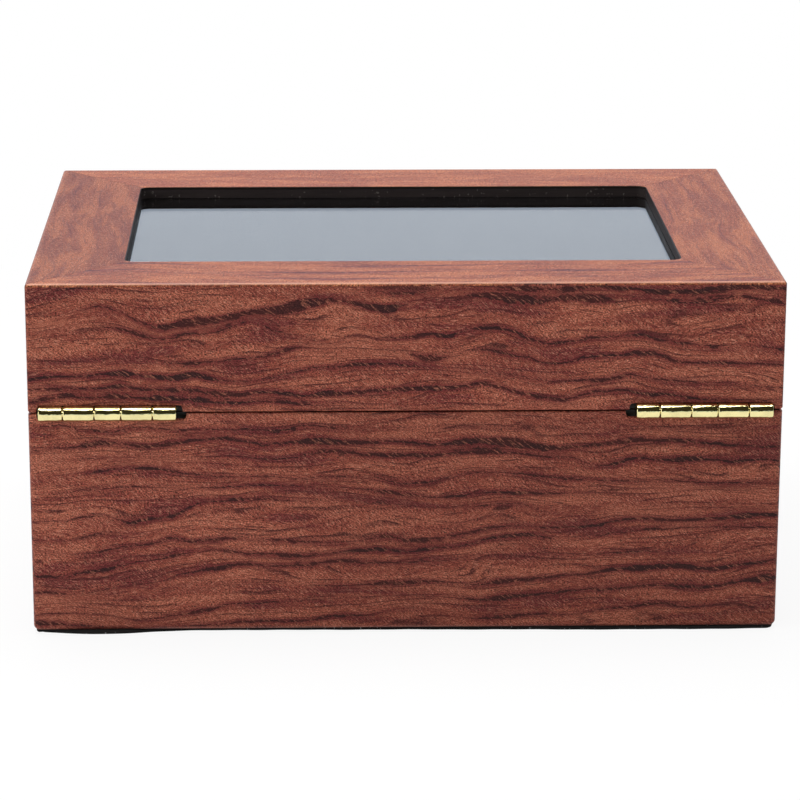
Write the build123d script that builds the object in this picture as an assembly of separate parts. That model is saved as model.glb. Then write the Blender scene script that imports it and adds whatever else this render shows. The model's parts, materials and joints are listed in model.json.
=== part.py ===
from build123d import *
import os
from math import atan2, cos, degrees, pi, radians, sin, sqrt

# A veneered display box for six pocket watches, in millimetres. The origin is the middle of the
# face it rests on, +Z is up, the front with the clasp faces -Y and the hinges are at +Y.
# "left" and "right" are as seen from the front, so left is at -X.

# ---- the case
case_width = 206.0  # along X
case_depth = 155.0  # along Y
base_wood_height = 62.4  # from the felt to the middle of the seam
lid_wood_height = 36.0  # from the middle of the seam to the top
seam_gap = 0.4  # between the rim of the base and the rim of the lid
veneer_thickness = 0.8
base_wall_thickness = 11.0  # with its veneer
lid_wall_thickness = 10.5  # with its veneer, a little thinner to pass round the liner boards
floor_thickness = 5.0
felt_thickness = 1.0
felt_inset = 1.2  # from the faces of the case to the edge of the felt
edge_radius = 1.2  # of the upright corners, the foot and the edge round the top
rim_bevel = 0.4  # along the two edges that meet at the seam
trim = 1.0  # raw boards are made this much too large where the eased outside trims them

# ---- the window in the lid
rail_width = 27.0  # of the front and back of the frame round the window
stile_width = 25.6  # of its left and right
window_corner_radius = 3.0
glass_recess = 3.4  # from the top of the lid down to the glass
glass_thickness = 2.0
glass_seat = 6.0  # how far the glass goes under the lip all round
glass_clearance = 0.3
retainer_thickness = 2.5
retainer_clearance = 0.3
lid_lining_thickness = 0.8

# ---- the velvet inside
floor_lining_thickness = 0.8
liner_thickness = 2.0
liner_rise = 5.5  # of the liner boards above the middle of the seam
liner_edge_radius = 0.7
lid_lining_gap = 1.0  # between the top of the liner boards and the lining of the lid
divider_thickness = 3.0
divider_height = 50.0
divider_edge_radius = 1.2
divider_slot_clearance = 0.1
columns = ("left", "middle", "right")
rows = ("front", "back")
cushion_height = 41.5
cushion_clearance = 0.9
cushion_edge_radius = 8.5
dish_sides = 12
dish_radius = 19.0  # of the hollow in a cushion, at its rim
dish_floor_radius = 10.0
dish_depth = 2.4

# ---- the butt hinges
hinge_sheet = 1.1
hinge_pin_diameter = 1.9
hinge_pin_clearance = 0.05  # all round the pin
hinge_edge_distance = 2.3  # from the side of the case to the end of the barrel
hinge_proud = 0.5  # how far the pin's axis stands out from the back of the case
hinge_leaf_gap = 0.3  # between the closed leaves
hinge_leaf_width = 9.0  # from the pin's axis to the inner edge of a leaf
base_knuckle = 6.8
lid_knuckle = 8.4
knuckle_gap = 0.2
knuckle_clearance = 0.15  # round a knuckle, in the wood and in the other leaf
neck_radius = 0.8  # of the bend between a leaf and its knuckle
roll_end_angle = 172.0  # where the sheet's end stops, round from straight out of the back
mortise_clearance = 0.1  # round the edges of a leaf
base_groove_runout = 2.7  # of the barrel's groove past its inner end
lid_groove_runout = 1.6
outer_groove_runout = 0.3
hinge_screw_pitch = 21.0
hinge_screw_head = 3.8
hinge_screw_shank = 2.0
hinge_screw_length = 8.0

# ---- the clasp
clasp_sheet = 0.9
clasp_flap_sheet = 0.75
clasp_pin_diameter = 1.1
clasp_pin_clearance = 0.05
clasp_knuckle = 3.4
clasp_flap_knuckle = 6.0
clasp_knuckle_gap = 0.15
clasp_roll_angle = 280.0  # how far round the pin the sheet is rolled
clasp_rise = 2.4  # of the clasp's pin above the middle of the seam
clasp_plate_height = 12.0
clasp_corner_radius = 2.0
clasp_flap_width = 10.0
clasp_flap_length = 15.5  # from the pin to the tip
clasp_lip_radius = 2.2
clasp_lip_angle = 50.0
clasp_rest_angle = 12.0  # the flap hangs this far out from the closed position
stud_drop = 9.5  # from the clasp's pin down to the middle of the stud
stud_flange_diameter = 7.0
stud_flange_thickness = 0.9
stud_stem_diameter = 2.8
stud_head_diameter = 3.6
stud_stem_length = 1.8
stud_nose_length = 1.4
stud_screw_length = 6.0
flap_hole_clearance = 0.6  # all round the head of the stud
clasp_screw_head = 2.6
clasp_screw_shank = 1.5
clasp_screw_length = 6.0
clasp_screw_pitch = 8.0
screw_sides = 10  # small screws are made with this many flats in place of round faces
screw_head_land = 0.15  # the straight edge of the head above its cone
screw_slot_width = 0.5
screw_slot_depth = 0.4

# ---- heights and faces that several pieces share
seam = felt_thickness + base_wood_height
base_top = seam - seam_gap / 2
lid_bottom = seam + seam_gap / 2
lid_top = seam + lid_wood_height
half_width = case_width / 2
half_depth = case_depth / 2
front_face = -half_depth
panel_top = lid_top - veneer_thickness
glass_top = lid_top - glass_recess
glass_bottom = glass_top - glass_thickness
floor_top = felt_thickness + floor_thickness
lining_top = floor_top + floor_lining_thickness
liner_top = seam + liner_rise
inner_half_width = half_width - base_wall_thickness
inner_half_depth = half_depth - base_wall_thickness
lined_half_width = inner_half_width - liner_thickness
lined_half_depth = inner_half_depth - liner_thickness
lid_inner_half_width = half_width - lid_wall_thickness
lid_inner_half_depth = half_depth - lid_wall_thickness
window_half_width = half_width - stile_width
window_half_depth = half_depth - rail_width

# ---- the hinge barrel, and the clasp's
hinge_axis_y = half_depth + hinge_proud
hinge_bore_radius = hinge_pin_diameter / 2 + hinge_pin_clearance
barrel_radius = hinge_bore_radius + hinge_sheet
groove_radius = barrel_radius + knuckle_clearance
knuckles = (base_knuckle, lid_knuckle, base_knuckle, lid_knuckle, base_knuckle)
hinge_length = sum(knuckles) + knuckle_gap * (len(knuckles) - 1)
hinge_outer_x = -half_width + hinge_edge_distance
hinge_inner_x = hinge_outer_x + hinge_length
clasp_bore_radius = clasp_pin_diameter / 2 + clasp_pin_clearance
clasp_barrel_radius = clasp_bore_radius + clasp_sheet
clasp_axis_y = front_face - clasp_barrel_radius
clasp_axis_z = seam + clasp_rise
clasp_width = 2 * (clasp_knuckle + clasp_knuckle_gap) + clasp_flap_knuckle
stud_z = clasp_axis_z - stud_drop

LEFT_AND_RIGHT = (("left", 1), ("right", -1))
SIDES = ("front", "back", "left", "right")
pieces = {}


def block(x_span, y_span, z_span):
    """A rectangular solid between three pairs of planes."""
    spans = (x_span, y_span, z_span)
    middle = [(low + high) / 2 for low, high in spans]
    return Pos(*middle) * Box(*[high - low for low, high in spans])


def centred(half):
    return (-half, half)


def frame_side(side, half_x, half_y, depth, z_span):
    """One side of a rectangular frame, mitred at 45 degrees at both ends."""
    if side in ("left", "right"):
        outline = [(-half_x, -half_y), (-half_x, half_y)]
        outline += [(depth - half_x, half_y - depth), (depth - half_x, depth - half_y)]
    else:
        outline = [(-half_x, -half_y), (half_x, -half_y)]
        outline += [(half_x - depth, depth - half_y), (depth - half_x, depth - half_y)]
    face = make_face(Polyline(*outline, close=True))
    prism = Pos(0, 0, z_span[0]) * extrude(face, z_span[1] - z_span[0], dir=(0, 0, 1))
    if side == "right":
        return mirror(prism, about=Plane.YZ)
    return mirror(prism, about=Plane.XZ) if side == "back" else prism


def eased_block(z_span, rim_end):
    """The whole outside of the base or the lid, its edges rounded and the rim at the seam
    bevelled. rim_end is 0 if the rim is its lower end, and -1 if it is the upper one."""
    body = block(centred(half_width), centred(half_depth), z_span)
    levels = body.edges().group_by(Axis.Z)
    body = fillet(levels[1] + levels[-1 - rim_end], edge_radius)
    return chamfer(body.faces().sort_by(Axis.Z)[rim_end].edges(), rim_bevel)


def rounded_slab(half_x, half_y, radius, z_span):
    """A rectangular slab with rounded upright corners."""
    slab = block(centred(half_x), centred(half_y), z_span)
    return fillet(slab.edges().filter_by(Axis.Z), radius)


def screw_blank(head, shank, length):
    """A countersunk screw with its head's face at the origin, pointing down, plain where its
    thread would be. It is also the hole that a plate needs for it."""
    cone = (head - shank) / 2 * cos(pi / screw_sides)
    top = extrude(RegularPolygon(head / 2, screw_sides), cone + screw_head_land, dir=(0, 0, -1))
    top = chamfer(top.faces().sort_by(Axis.Z)[0].edges(), cone)
    return top + extrude(RegularPolygon(shank / 2, screw_sides), length, dir=(0, 0, -1))


def screw(head, shank, length):
    """The screw with the slot in its head."""
    return screw_blank(head, shank, length) - Box(head, screw_slot_width, 2 * screw_slot_depth)


def pilot_hole(head, shank, length):
    """The hole that the screw's shank fills in the wood under the plate."""
    return extrude(RegularPolygon(shank / 2, screw_sides), length, dir=(0, 0, -1))


def each_hand(name, solid):
    """The left hinge's piece, and its mirror image on the right."""
    pieces[f"hinge_left_{name}"] = solid
    pieces[f"hinge_right_{name}"] = mirror(solid, about=Plane.YZ)


# ---- hinges


def knuckle_spans(own):
    """The stretches of X that the base's knuckles (own = 0) or the lid's (own = 1) take up."""
    spans = []
    start = hinge_outer_x
    for number, length in enumerate(knuckles):
        if number % 2 == own:
            spans.append((start, start + length))
        start += length + knuckle_gap
    return spans


def rolled_leaf_profile():
    """The section of the base's leaf, with the pin's axis at the origin and the leaf to its left:
    a flat sheet under the seam, a neck that bends down to the barrel, and the roll round the pin."""
    roll_radius = hinge_bore_radius + hinge_sheet / 2
    drop = (hinge_leaf_gap + hinge_sheet) / 2
    reach = sqrt((roll_radius + neck_radius) ** 2 - (drop + neck_radius) ** 2)
    neck_angle = degrees(atan2(drop + neck_radius, reach))
    start_angle = neck_angle - 180
    sheet = Line((-hinge_leaf_width, -drop), (-reach, -drop))
    neck = CenterArc((-reach, -drop - neck_radius), neck_radius, 90, neck_angle - 90)
    roll = CenterArc((0, 0), roll_radius, start_angle, roll_end_angle - start_angle)
    return trace([sheet, neck, roll], hinge_sheet)


def hinge_screw_places():
    """The screws of one leaf, halfway between the barrel and the leaf's inner edge."""
    y = hinge_axis_y - (hinge_leaf_width + groove_radius) / 2
    middle = (hinge_outer_x + hinge_inner_x) / 2
    return [Pos(middle + step * hinge_screw_pitch / 2, y, seam) for step in (-1, 1)]


def hinge_leaf(own):
    """A leaf with its knuckles. The lid's is the base's turned over in the plane of the seam."""
    section = Plane((hinge_outer_x, hinge_axis_y, seam), x_dir=(0, 1, 0), z_dir=(1, 0, 0))
    leaf = extrude(section * rolled_leaf_profile(), hinge_length, dir=(1, 0, 0))
    if own == 1:
        leaf = mirror(leaf, about=Plane((0, 0, seam), z_dir=(0, 0, 1)))
    beyond = (hinge_axis_y - groove_radius, hinge_axis_y + groove_radius)
    for low, high in knuckle_spans(1 - own):
        leaf -= block((low - knuckle_gap, high + knuckle_gap), beyond,
                      (seam - groove_radius, seam + groove_radius))
    return leaf


def hinge_screw_set(shape, own):
    """Both screws or screw holes of a leaf, their heads flush with its face in the seam."""
    upright = Pos(0, 0, -hinge_leaf_gap / 2) * shape(hinge_screw_head, hinge_screw_shank,
                                                    hinge_screw_length)
    if own == 1:
        upright = Rot(180, 0, 0) * upright
    return [place * upright for place in hinge_screw_places()]


def hinge_recess(own):
    """What both rims lose at the left hinge: a mortise for the leaf, a groove for the barrel that
    the cutter leaves longer at the inner end, and holes for the screws."""
    runout = lid_groove_runout if own else base_groove_runout
    groove_length = hinge_length + outer_groove_runout + runout
    groove_middle = hinge_outer_x - outer_groove_runout + groove_length / 2
    groove = Pos(groove_middle, hinge_axis_y, seam) * (
        Rot(0, 90, 0) * Cylinder(groove_radius, groove_length))
    depth = hinge_leaf_gap / 2 + hinge_sheet
    leaf_edge = hinge_axis_y - hinge_leaf_width - mortise_clearance
    mortise = block((hinge_outer_x - mortise_clearance, hinge_inner_x + mortise_clearance),
                    (leaf_edge, hinge_axis_y), (seam, seam + depth) if own else (seam - depth, seam))
    recess = groove + mortise
    for hole in hinge_screw_set(pilot_hole, own):
        recess += hole
    return recess


def make_hinges():
    for own, name in enumerate(("base", "lid")):
        leaf = hinge_leaf(own)
        for hole in hinge_screw_set(screw_blank, own):
            leaf -= hole
        each_hand(f"{name}_leaf", leaf)
        each_hand(f"{name}_screws", Compound(hinge_screw_set(screw, own)))
    pin = Rot(0, 90, 0) * Cylinder(hinge_pin_diameter / 2, hinge_length)
    pin = Pos((hinge_outer_x + hinge_inner_x) / 2, hinge_axis_y, seam) * pin
    each_hand("pin", pin)


def cut_for_hinges(solid, own):
    recess = hinge_recess(own)
    return solid - recess - mirror(recess, about=Plane.YZ)


# ---- clasp


def clasp_section(x):
    """A plane across the clasp's pin: its first axis points out of the front, its second up."""
    return Plane((x, clasp_axis_y, clasp_axis_z), x_dir=(0, -1, 0), z_dir=(-1, 0, 0))


def clasp_screw_set(shape):
    """Both screws or screw holes of the upper plate, their heads flush with its face."""
    facing = Rot(90, 0, 0) * shape(clasp_screw_head, clasp_screw_shank, clasp_screw_length)
    z = clasp_axis_z + (clasp_barrel_radius + clasp_plate_height) / 2
    return [Pos(step * clasp_screw_pitch / 2, front_face - clasp_sheet, z) * facing
            for step in (-1, 1)]


def clasp_lid_plate():
    """The upper plate, its lower edge rolled into two knuckles round the pin."""
    roll_radius = clasp_bore_radius + clasp_sheet / 2
    roll = CenterArc((0, 0), roll_radius, 180, clasp_roll_angle)
    sheet = Line((-roll_radius, clasp_plate_height), (-roll_radius, 0))
    section = clasp_section(clasp_width / 2) * trace([sheet, roll], clasp_sheet)
    plate = extrude(section, clasp_width, dir=(-1, 0, 0))
    top = clasp_axis_z + clasp_plate_height
    corners = [e for e in plate.edges().filter_by(Axis.Y) if abs(e.center().Z - top) < clasp_sheet]
    plate = fillet(corners, clasp_corner_radius)
    clear = clasp_barrel_radius + clasp_knuckle_gap
    plate -= block(centred(clasp_flap_knuckle / 2 + clasp_knuckle_gap),
                   (clasp_axis_y - clear, front_face), (clasp_axis_z - clear, clasp_axis_z + clear))
    for hole in clasp_screw_set(screw_blank):
        plate -= hole
    return plate


def clasp_flap():
    """The flap, rolled round the pin and hanging from the front of its barrel, with a rounded
    end, a lip for the finger and the hole for the stud. It hangs a little open at rest."""
    roll_radius = clasp_bore_radius + clasp_flap_sheet / 2
    lip_start = clasp_flap_length - clasp_lip_radius * sin(radians(clasp_lip_angle))
    roll = CenterArc((0, 0), roll_radius, 0, clasp_roll_angle)
    sheet = Line((roll_radius, 0), (roll_radius, -lip_start))
    lip = CenterArc((roll_radius + clasp_lip_radius, -lip_start), clasp_lip_radius, 180,
                    clasp_lip_angle)
    profile = trace([roll, sheet, lip], clasp_flap_sheet)
    flap = extrude(clasp_section(clasp_flap_width / 2) * profile, clasp_flap_width, dir=(-1, 0, 0))
    tip_radius = clasp_flap_width / 2
    shoulder = clasp_barrel_radius + clasp_knuckle_gap
    tongue = Pos(0, -(clasp_flap_length + shoulder) / 2) * Rectangle(
        clasp_flap_width, clasp_flap_length - shoulder)
    tongue = fillet(tongue.vertices().sort_by(Axis.Y)[:2], tip_radius - clasp_knuckle_gap)
    tongue = fillet(tongue.vertices().sort_by(Axis.Y)[-2:], clasp_lip_radius / 2)
    outline = tongue + Rectangle(clasp_flap_knuckle, 2 * shoulder + clasp_sheet)
    outline -= Pos(0, -stud_drop) * Circle(stud_head_diameter / 2 + flap_hole_clearance)
    front = Plane((0, clasp_axis_y, clasp_axis_z), x_dir=(1, 0, 0), z_dir=(0, -1, 0))
    flap &= extrude(front * outline, clasp_flap_length, both=True)
    pin_axis = Axis((0, clasp_axis_y, clasp_axis_z), (-1, 0, 0))
    return flap.rotate(pin_axis, clasp_rest_angle)


def clasp_stud():
    """The turned stud that the flap snaps over, screwed into the front of the base."""
    stem = stud_stem_diameter / 2
    head = stud_head_diameter / 2
    face = stud_flange_thickness + stud_stem_length
    side = Polyline((0, 0), (stud_flange_diameter / 2, 0),
                    (stud_flange_diameter / 2, stud_flange_thickness),
                    (stem, stud_flange_thickness), (stem, face), (head, face),
                    (stem, face + stud_nose_length), (0, face + stud_nose_length), close=True)
    stud = revolve(Plane.XZ * make_face(side), Axis.Z)
    stud += pilot_hole(stud_flange_diameter, clasp_screw_shank, stud_screw_length)
    return Pos(0, front_face, stud_z) * (Rot(90, 0, 0) * stud)


def make_clasp():
    pieces["clasp_lid_plate"] = clasp_lid_plate()
    pieces["clasp_flap"] = clasp_flap()
    pieces["clasp_stud"] = clasp_stud()
    pieces["clasp_lid_screws"] = Compound(clasp_screw_set(screw))
    pin = Rot(0, 90, 0) * Cylinder(clasp_pin_diameter / 2, clasp_width)
    pieces["clasp_pin"] = Pos(0, clasp_axis_y, clasp_axis_z) * pin


def cut_for_clasp(solid, own):
    if own == 0:
        return solid - clasp_stud()
    for hole in clasp_screw_set(pilot_hole):
        solid -= hole
    return solid


# ---- wooden case


def walls(name, envelope, core_z, veneer_z, wall_thickness, own):
    """Four mitred core boards and the veneer on each, let in for the hinges and the clasp."""
    core_x = half_width - veneer_thickness
    core_y = half_depth - veneer_thickness
    core_thickness = wall_thickness - veneer_thickness
    for side in SIDES:
        core = frame_side(side, core_x, core_y, core_thickness, core_z) & envelope
        veneer = frame_side(side, half_width + trim, half_depth + trim, veneer_thickness + trim,
                            veneer_z) & envelope
        if side != "front":
            core = cut_for_hinges(core, own)
            veneer = cut_for_hinges(veneer, own)
        else:
            core = cut_for_clasp(core, own)
            veneer = cut_for_clasp(veneer, own)
        pieces[f"{name}_{side}_panel"] = core
        pieces[f"{name}_{side}_veneer"] = veneer


def make_base():
    span = (felt_thickness, base_top)
    envelope = eased_block(span, -1)
    raw_span = (felt_thickness - trim, base_top + trim)
    walls("base", envelope, raw_span, raw_span, base_wall_thickness, 0)
    pieces["base_floor"] = block(centred(inner_half_width), centred(inner_half_depth),
                                 (felt_thickness, floor_top))
    pieces["felt_underside"] = rounded_slab(half_width - felt_inset, half_depth - felt_inset,
                                            edge_radius, (0, felt_thickness))


def make_lid():
    span = (lid_bottom, lid_top)
    envelope = eased_block(span, 0)
    walls("lid", envelope, (lid_bottom - trim, glass_bottom), (lid_bottom - trim, panel_top),
          lid_wall_thickness, 1)
    window = rounded_slab(window_half_width, window_half_depth, window_corner_radius,
                          (glass_bottom - retainer_thickness - trim, lid_top + trim))
    glass_x = window_half_width + glass_seat
    glass_y = window_half_depth + glass_seat
    panel = block(centred(half_width - veneer_thickness), centred(half_depth - veneer_thickness),
                  (glass_bottom, panel_top))
    panel -= block(centred(glass_x), centred(glass_y), (glass_bottom, glass_top))
    pieces["lid_top_panel"] = (panel & envelope) - window
    for side in SIDES:
        leaf = frame_side(side, half_width + trim, half_depth + trim,
                          rail_width + window_corner_radius + trim, (panel_top, lid_top + trim))
        pieces[f"lid_top_{side}_veneer"] = (leaf & envelope) - window
    pieces["glass_pane"] = block(centred(glass_x - glass_clearance),
                                 centred(glass_y - glass_clearance), (glass_bottom, glass_top))
    retainer = block(centred(lid_inner_half_width - retainer_clearance),
                     centred(lid_inner_half_depth - retainer_clearance),
                     (glass_bottom - retainer_thickness, glass_bottom))
    pieces["glass_retainer"] = retainer - window


# ---- velvet inside


def make_linings():
    pieces["floor_lining"] = block(centred(lined_half_width), centred(lined_half_depth),
                                   (floor_top, lining_top))
    board_z = (floor_top, liner_top)
    long_board = block(centred(inner_half_width), (-inner_half_depth, -lined_half_depth), board_z)
    side_board = block((-inner_half_width, -lined_half_width), centred(lined_half_depth), board_z)
    for name, board in (("front", long_board), ("left", side_board)):
        upper = board.edges().group_by(Axis.Z)[-1]
        length_axis = Axis.X if name == "front" else Axis.Y
        eased = fillet(upper.filter_by(length_axis), liner_edge_radius)
        pieces[f"liner_{name}"] = eased
        pieces["liner_back" if name == "front" else "liner_right"] = Rot(0, 0, 180) * eased
    ring_z = (liner_top + lid_lining_gap, glass_bottom - retainer_thickness)
    ring = block(centred(lid_inner_half_width), centred(lid_inner_half_depth), ring_z)
    ring -= block(centred(lid_inner_half_width - lid_lining_thickness),
                  centred(lid_inner_half_depth - lid_lining_thickness), ring_z)
    pieces["lid_wall_lining"] = ring


def compartment_centres():
    """The middle of each compartment and its name, between the liner boards and dividers."""
    width = (2 * lined_half_width - (len(columns) - 1) * divider_thickness) / len(columns)
    depth = (2 * lined_half_depth - (len(rows) - 1) * divider_thickness) / len(rows)
    centres = {}
    for column, column_name in enumerate(columns):
        for row, row_name in enumerate(rows):
            x = -lined_half_width + width / 2 + column * (width + divider_thickness)
            y = -lined_half_depth + depth / 2 + row * (depth + divider_thickness)
            centres[f"{row_name}_{column_name}"] = (x, y)
    return width, depth, centres


def soft_edged(board, length_axis):
    upper = board.edges().group_by(Axis.Z)[-1].filter_by(length_axis)
    return fillet(upper, divider_edge_radius)


def make_dividers():
    """One long board and two short ones, halved over each other."""
    board_z = (lining_top, lining_top + divider_height)
    halving_z = lining_top + divider_height / 2
    half = divider_thickness / 2
    slot = half + divider_slot_clearance
    compartment_width = compartment_centres()[0]
    crossing = (compartment_width + divider_thickness) / 2
    long_board = soft_edged(block(centred(lined_half_width), centred(half), board_z), Axis.X)
    for name, sign in LEFT_AND_RIGHT:
        x = -sign * crossing
        long_board -= block((x - slot, x + slot), centred(half), (halving_z, board_z[1]))
        short = block((x - half, x + half), centred(lined_half_depth), board_z)
        short = soft_edged(short, Axis.Y)
        pieces[f"divider_short_{name}"] = short - block((x - half, x + half), centred(slot),
                                                        (board_z[0], halving_z))
    pieces["divider_long"] = long_board


def make_cushions():
    """A plump block of padding for each compartment, its upper edges rounded off and a shallow
    hollow pressed into its top, for the watch."""
    width, depth, centres = compartment_centres()
    top = lining_top + cushion_height
    body = block(centred(width / 2 - cushion_clearance), centred(depth / 2 - cushion_clearance),
                 (lining_top, top))
    body = fillet(body.faces().sort_by(Axis.Z)[-1].edges(), cushion_edge_radius)
    dish = extrude(RegularPolygon(dish_radius, dish_sides), dish_depth, both=True)
    floor = dish.faces().sort_by(Axis.Z)[0]
    dish = chamfer(floor.edges(), dish_radius - dish_floor_radius, dish_depth, reference=floor)
    body -= Pos(0, 0, top) * dish
    for name, (x, y) in centres.items():
        pieces[f"watch_cushion_{name}"] = Pos(x, y, 0) * body


make_base()
make_lid()
make_linings()
make_dividers()
make_cushions()
make_hinges()
make_clasp()
os.makedirs("parts", exist_ok=True)
for node, solid in pieces.items():
    export_step(solid, f"parts/{node}.step")
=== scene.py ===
"""A veneered display box for six pocket watches. Sizes are in millimetres until a mesh is made."""
import json
from math import cos, pi, radians, sin, sqrt

import bmesh
import bpy
import numpy as np
from mathutils import Matrix, Vector


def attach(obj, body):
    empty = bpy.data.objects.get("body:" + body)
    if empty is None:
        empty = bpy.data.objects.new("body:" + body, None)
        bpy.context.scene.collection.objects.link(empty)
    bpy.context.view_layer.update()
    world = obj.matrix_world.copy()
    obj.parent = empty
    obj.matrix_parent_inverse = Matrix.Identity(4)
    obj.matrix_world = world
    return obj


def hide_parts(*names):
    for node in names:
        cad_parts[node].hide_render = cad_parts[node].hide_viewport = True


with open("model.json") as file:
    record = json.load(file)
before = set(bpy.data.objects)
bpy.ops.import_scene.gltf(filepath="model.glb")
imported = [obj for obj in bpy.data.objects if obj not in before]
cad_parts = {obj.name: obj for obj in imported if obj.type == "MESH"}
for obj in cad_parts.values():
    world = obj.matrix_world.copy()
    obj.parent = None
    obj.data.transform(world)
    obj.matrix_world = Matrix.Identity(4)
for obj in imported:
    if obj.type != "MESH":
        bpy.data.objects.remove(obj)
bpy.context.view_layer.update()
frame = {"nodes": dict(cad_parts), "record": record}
MM = 0.001

# ---- sizes of the case, as in the solids
HALF_WIDTH, HALF_DEPTH = 103.0, 77.5
FOOT, SEAM, TOP = 1.0, 63.4, 99.4
BASE_RIM, LID_RIM = SEAM - 0.2, SEAM + 0.2
VENEER, RIM_BEVEL = 0.8, 0.4
EASES = {"base": 1.5, "lid": 0.85}
PANEL_TOP = TOP - VENEER
WINDOW_X, WINDOW_Y, WINDOW_RADIUS = 77.4, 50.5, 3.0
HINGE_Y = HALF_DEPTH + 0.5
GROOVE_RADIUS = 2.25
HINGE_INNER, HINGE_OUTER = 62.7, 100.1


# ================================================================ shader maths


class Value:
    """A number socket of a material. Arithmetic on it adds Math nodes."""

    def __init__(self, finish, socket):
        self.finish, self.socket = finish, socket

    def math(self, operation, *others):
        inputs = dict(enumerate((self,) + others))
        return self.finish.add("ShaderNodeMath", {"operation": operation}, inputs)

    def __add__(self, other):
        return self.math("ADD", other)

    def __sub__(self, other):
        return self.math("SUBTRACT", other)

    def __mul__(self, other):
        return self.math("MULTIPLY", other)

    def __truediv__(self, other):
        return self.math("DIVIDE", other)

    def __rsub__(self, other):
        return self.finish.add("ShaderNodeMath", {"operation": "SUBTRACT"}, {0: other, 1: self})

    def __abs__(self):
        return self.math("ABSOLUTE")

    __radd__ = __add__

    def limit(self, low=0.0, high=1.0):
        return self.math("MAXIMUM", low).math("MINIMUM", high)


class Finish:
    """A material, with one method for adding any node and a few named after what they make."""

    def __init__(self, name, tree=None):
        if tree is None:
            self.material = bpy.data.materials.new(name)
            self.material.use_nodes = True
            tree = self.material.node_tree
        self.tree = tree
        tree.nodes.clear()

    def add(self, kind, settings=None, inputs=None, output=0):
        node = self.tree.nodes.new(kind)
        for key, value in (settings or {}).items():
            setattr(node, key, value)
        for key, value in (inputs or {}).items():
            if isinstance(value, Value):
                self.tree.links.new(value.socket, node.inputs[key])
            else:
                node.inputs[key].default_value = value
        return Value(self, node.outputs[output])

    def parts(self, vector):
        node = self.add("ShaderNodeSeparateXYZ", None, {0: vector}).socket.node
        return [Value(self, socket) for socket in node.outputs]

    def vector(self, x=0.0, y=0.0, z=0.0):
        return self.add("ShaderNodeCombineXYZ", None, {0: x, 1: y, 2: z})

    def attribute(self, name):
        return self.add("ShaderNodeAttribute", {"attribute_name": name}, None, "Vector")

    def position(self):
        return self.add("ShaderNodeTexCoord", None, None, "Object")

    def noise(self, place, scale=1.0, detail=2.0, roughness=0.5):
        return self.add("ShaderNodeTexNoise", None, {
            "Vector": place, "Scale": scale, "Detail": detail, "Roughness": roughness})

    def ramp(self, value, low, high, start=0.0, end=1.0):
        """start below low, end above high, and smooth between them."""
        return self.add("ShaderNodeMapRange", {"interpolation_type": "SMOOTHSTEP"}, {
            "Value": value, "From Min": low, "From Max": high, "To Min": start, "To Max": end})

    def mix(self, factor, first, second, blend="MIX"):
        """Blends two colours; each is a socket or a tuple of red, green and blue."""
        settings = {"data_type": "RGBA", "blend_type": blend, "clamp_factor": True}
        rgba = [c if isinstance(c, Value) else (*c, 1.0) for c in (first, second)]
        return self.add("ShaderNodeMix", settings, {0: factor, 6: rgba[0], 7: rgba[1]}, 2)

    def bump(self, height, strength, distance):
        return self.add("ShaderNodeBump", None, {
            "Strength": strength, "Distance": distance, "Height": height})

    def surface(self, **inputs):
        """The finished surface; a name's underscore stands for a space."""
        named = {key.replace("_", " "): value for key, value in inputs.items()}
        shader = self.add("ShaderNodeBsdfPrincipled", None, named)
        self.add_output(shader)
        return self.material

    def add_output(self, shader):
        kind = "ShaderNodeOutputMaterial" if hasattr(self, "material") else "ShaderNodeOutputWorld"
        node = self.tree.nodes.new(kind)
        self.tree.links.new(shader.socket, node.inputs[0])


def colour(red, green, blue):
    """A colour given on the 0 to 255 scale of a picture, as the linear numbers shaders use."""
    return tuple(((c / 255 + 0.055) / 1.055) ** 2.4 if c > 10 else c / 3294.6
                 for c in (red, green, blue))


# ================================================================ meshes


def add_object(name, data):
    """A new object of a mesh, light or camera, linked into the scene."""
    thing = bpy.data.objects.new(name, data)
    bpy.context.scene.collection.objects.link(thing)
    return thing


def object_from(name, points, faces, attributes=None):
    """A mesh object from millimetre points; attributes maps a name to one vector per point."""
    mesh = bpy.data.meshes.new(name)
    mesh.from_pydata((np.asarray(points, float).reshape(-1, 3) * MM).tolist(), [], faces)
    for key, values in (attributes or {}).items():
        layer = mesh.attributes.new(key, "FLOAT_VECTOR", "POINT")
        layer.data.foreach_set("vector", np.asarray(values, np.float32).ravel())
    return add_object(name, mesh)


def tidy(piece, sharp=35.0):
    """Merges doubles, turns every face outwards and shades smooth up to the given angle."""
    work = bmesh.new()
    work.from_mesh(piece.data)
    bmesh.ops.remove_doubles(work, verts=work.verts, dist=0.000002)
    bmesh.ops.dissolve_degenerate(work, dist=0.000001, edges=work.edges)
    bmesh.ops.recalc_face_normals(work, faces=work.faces)
    work.to_mesh(piece.data)
    work.free()
    piece.data.shade_smooth()
    piece.data.set_sharp_from_angle(angle=radians(sharp))
    return piece


def finish_piece(piece, body, slot, replaces):
    """Gives a piece its slot's material, the body it rides and the solids it stands for."""
    piece.data.materials.append(SLOTS[slot])
    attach(piece, body)
    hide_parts(*replaces)


def grid_faces(rows, columns, first=0):
    """Quads over a grid of points, numbered row by row from the first."""
    index = np.arange(rows * columns).reshape(rows, columns) + first
    quads = np.stack([index[:-1, :-1], index[1:, :-1], index[1:, 1:], index[:-1, 1:]], -1)
    return quads.reshape(-1, 4).tolist()


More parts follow.
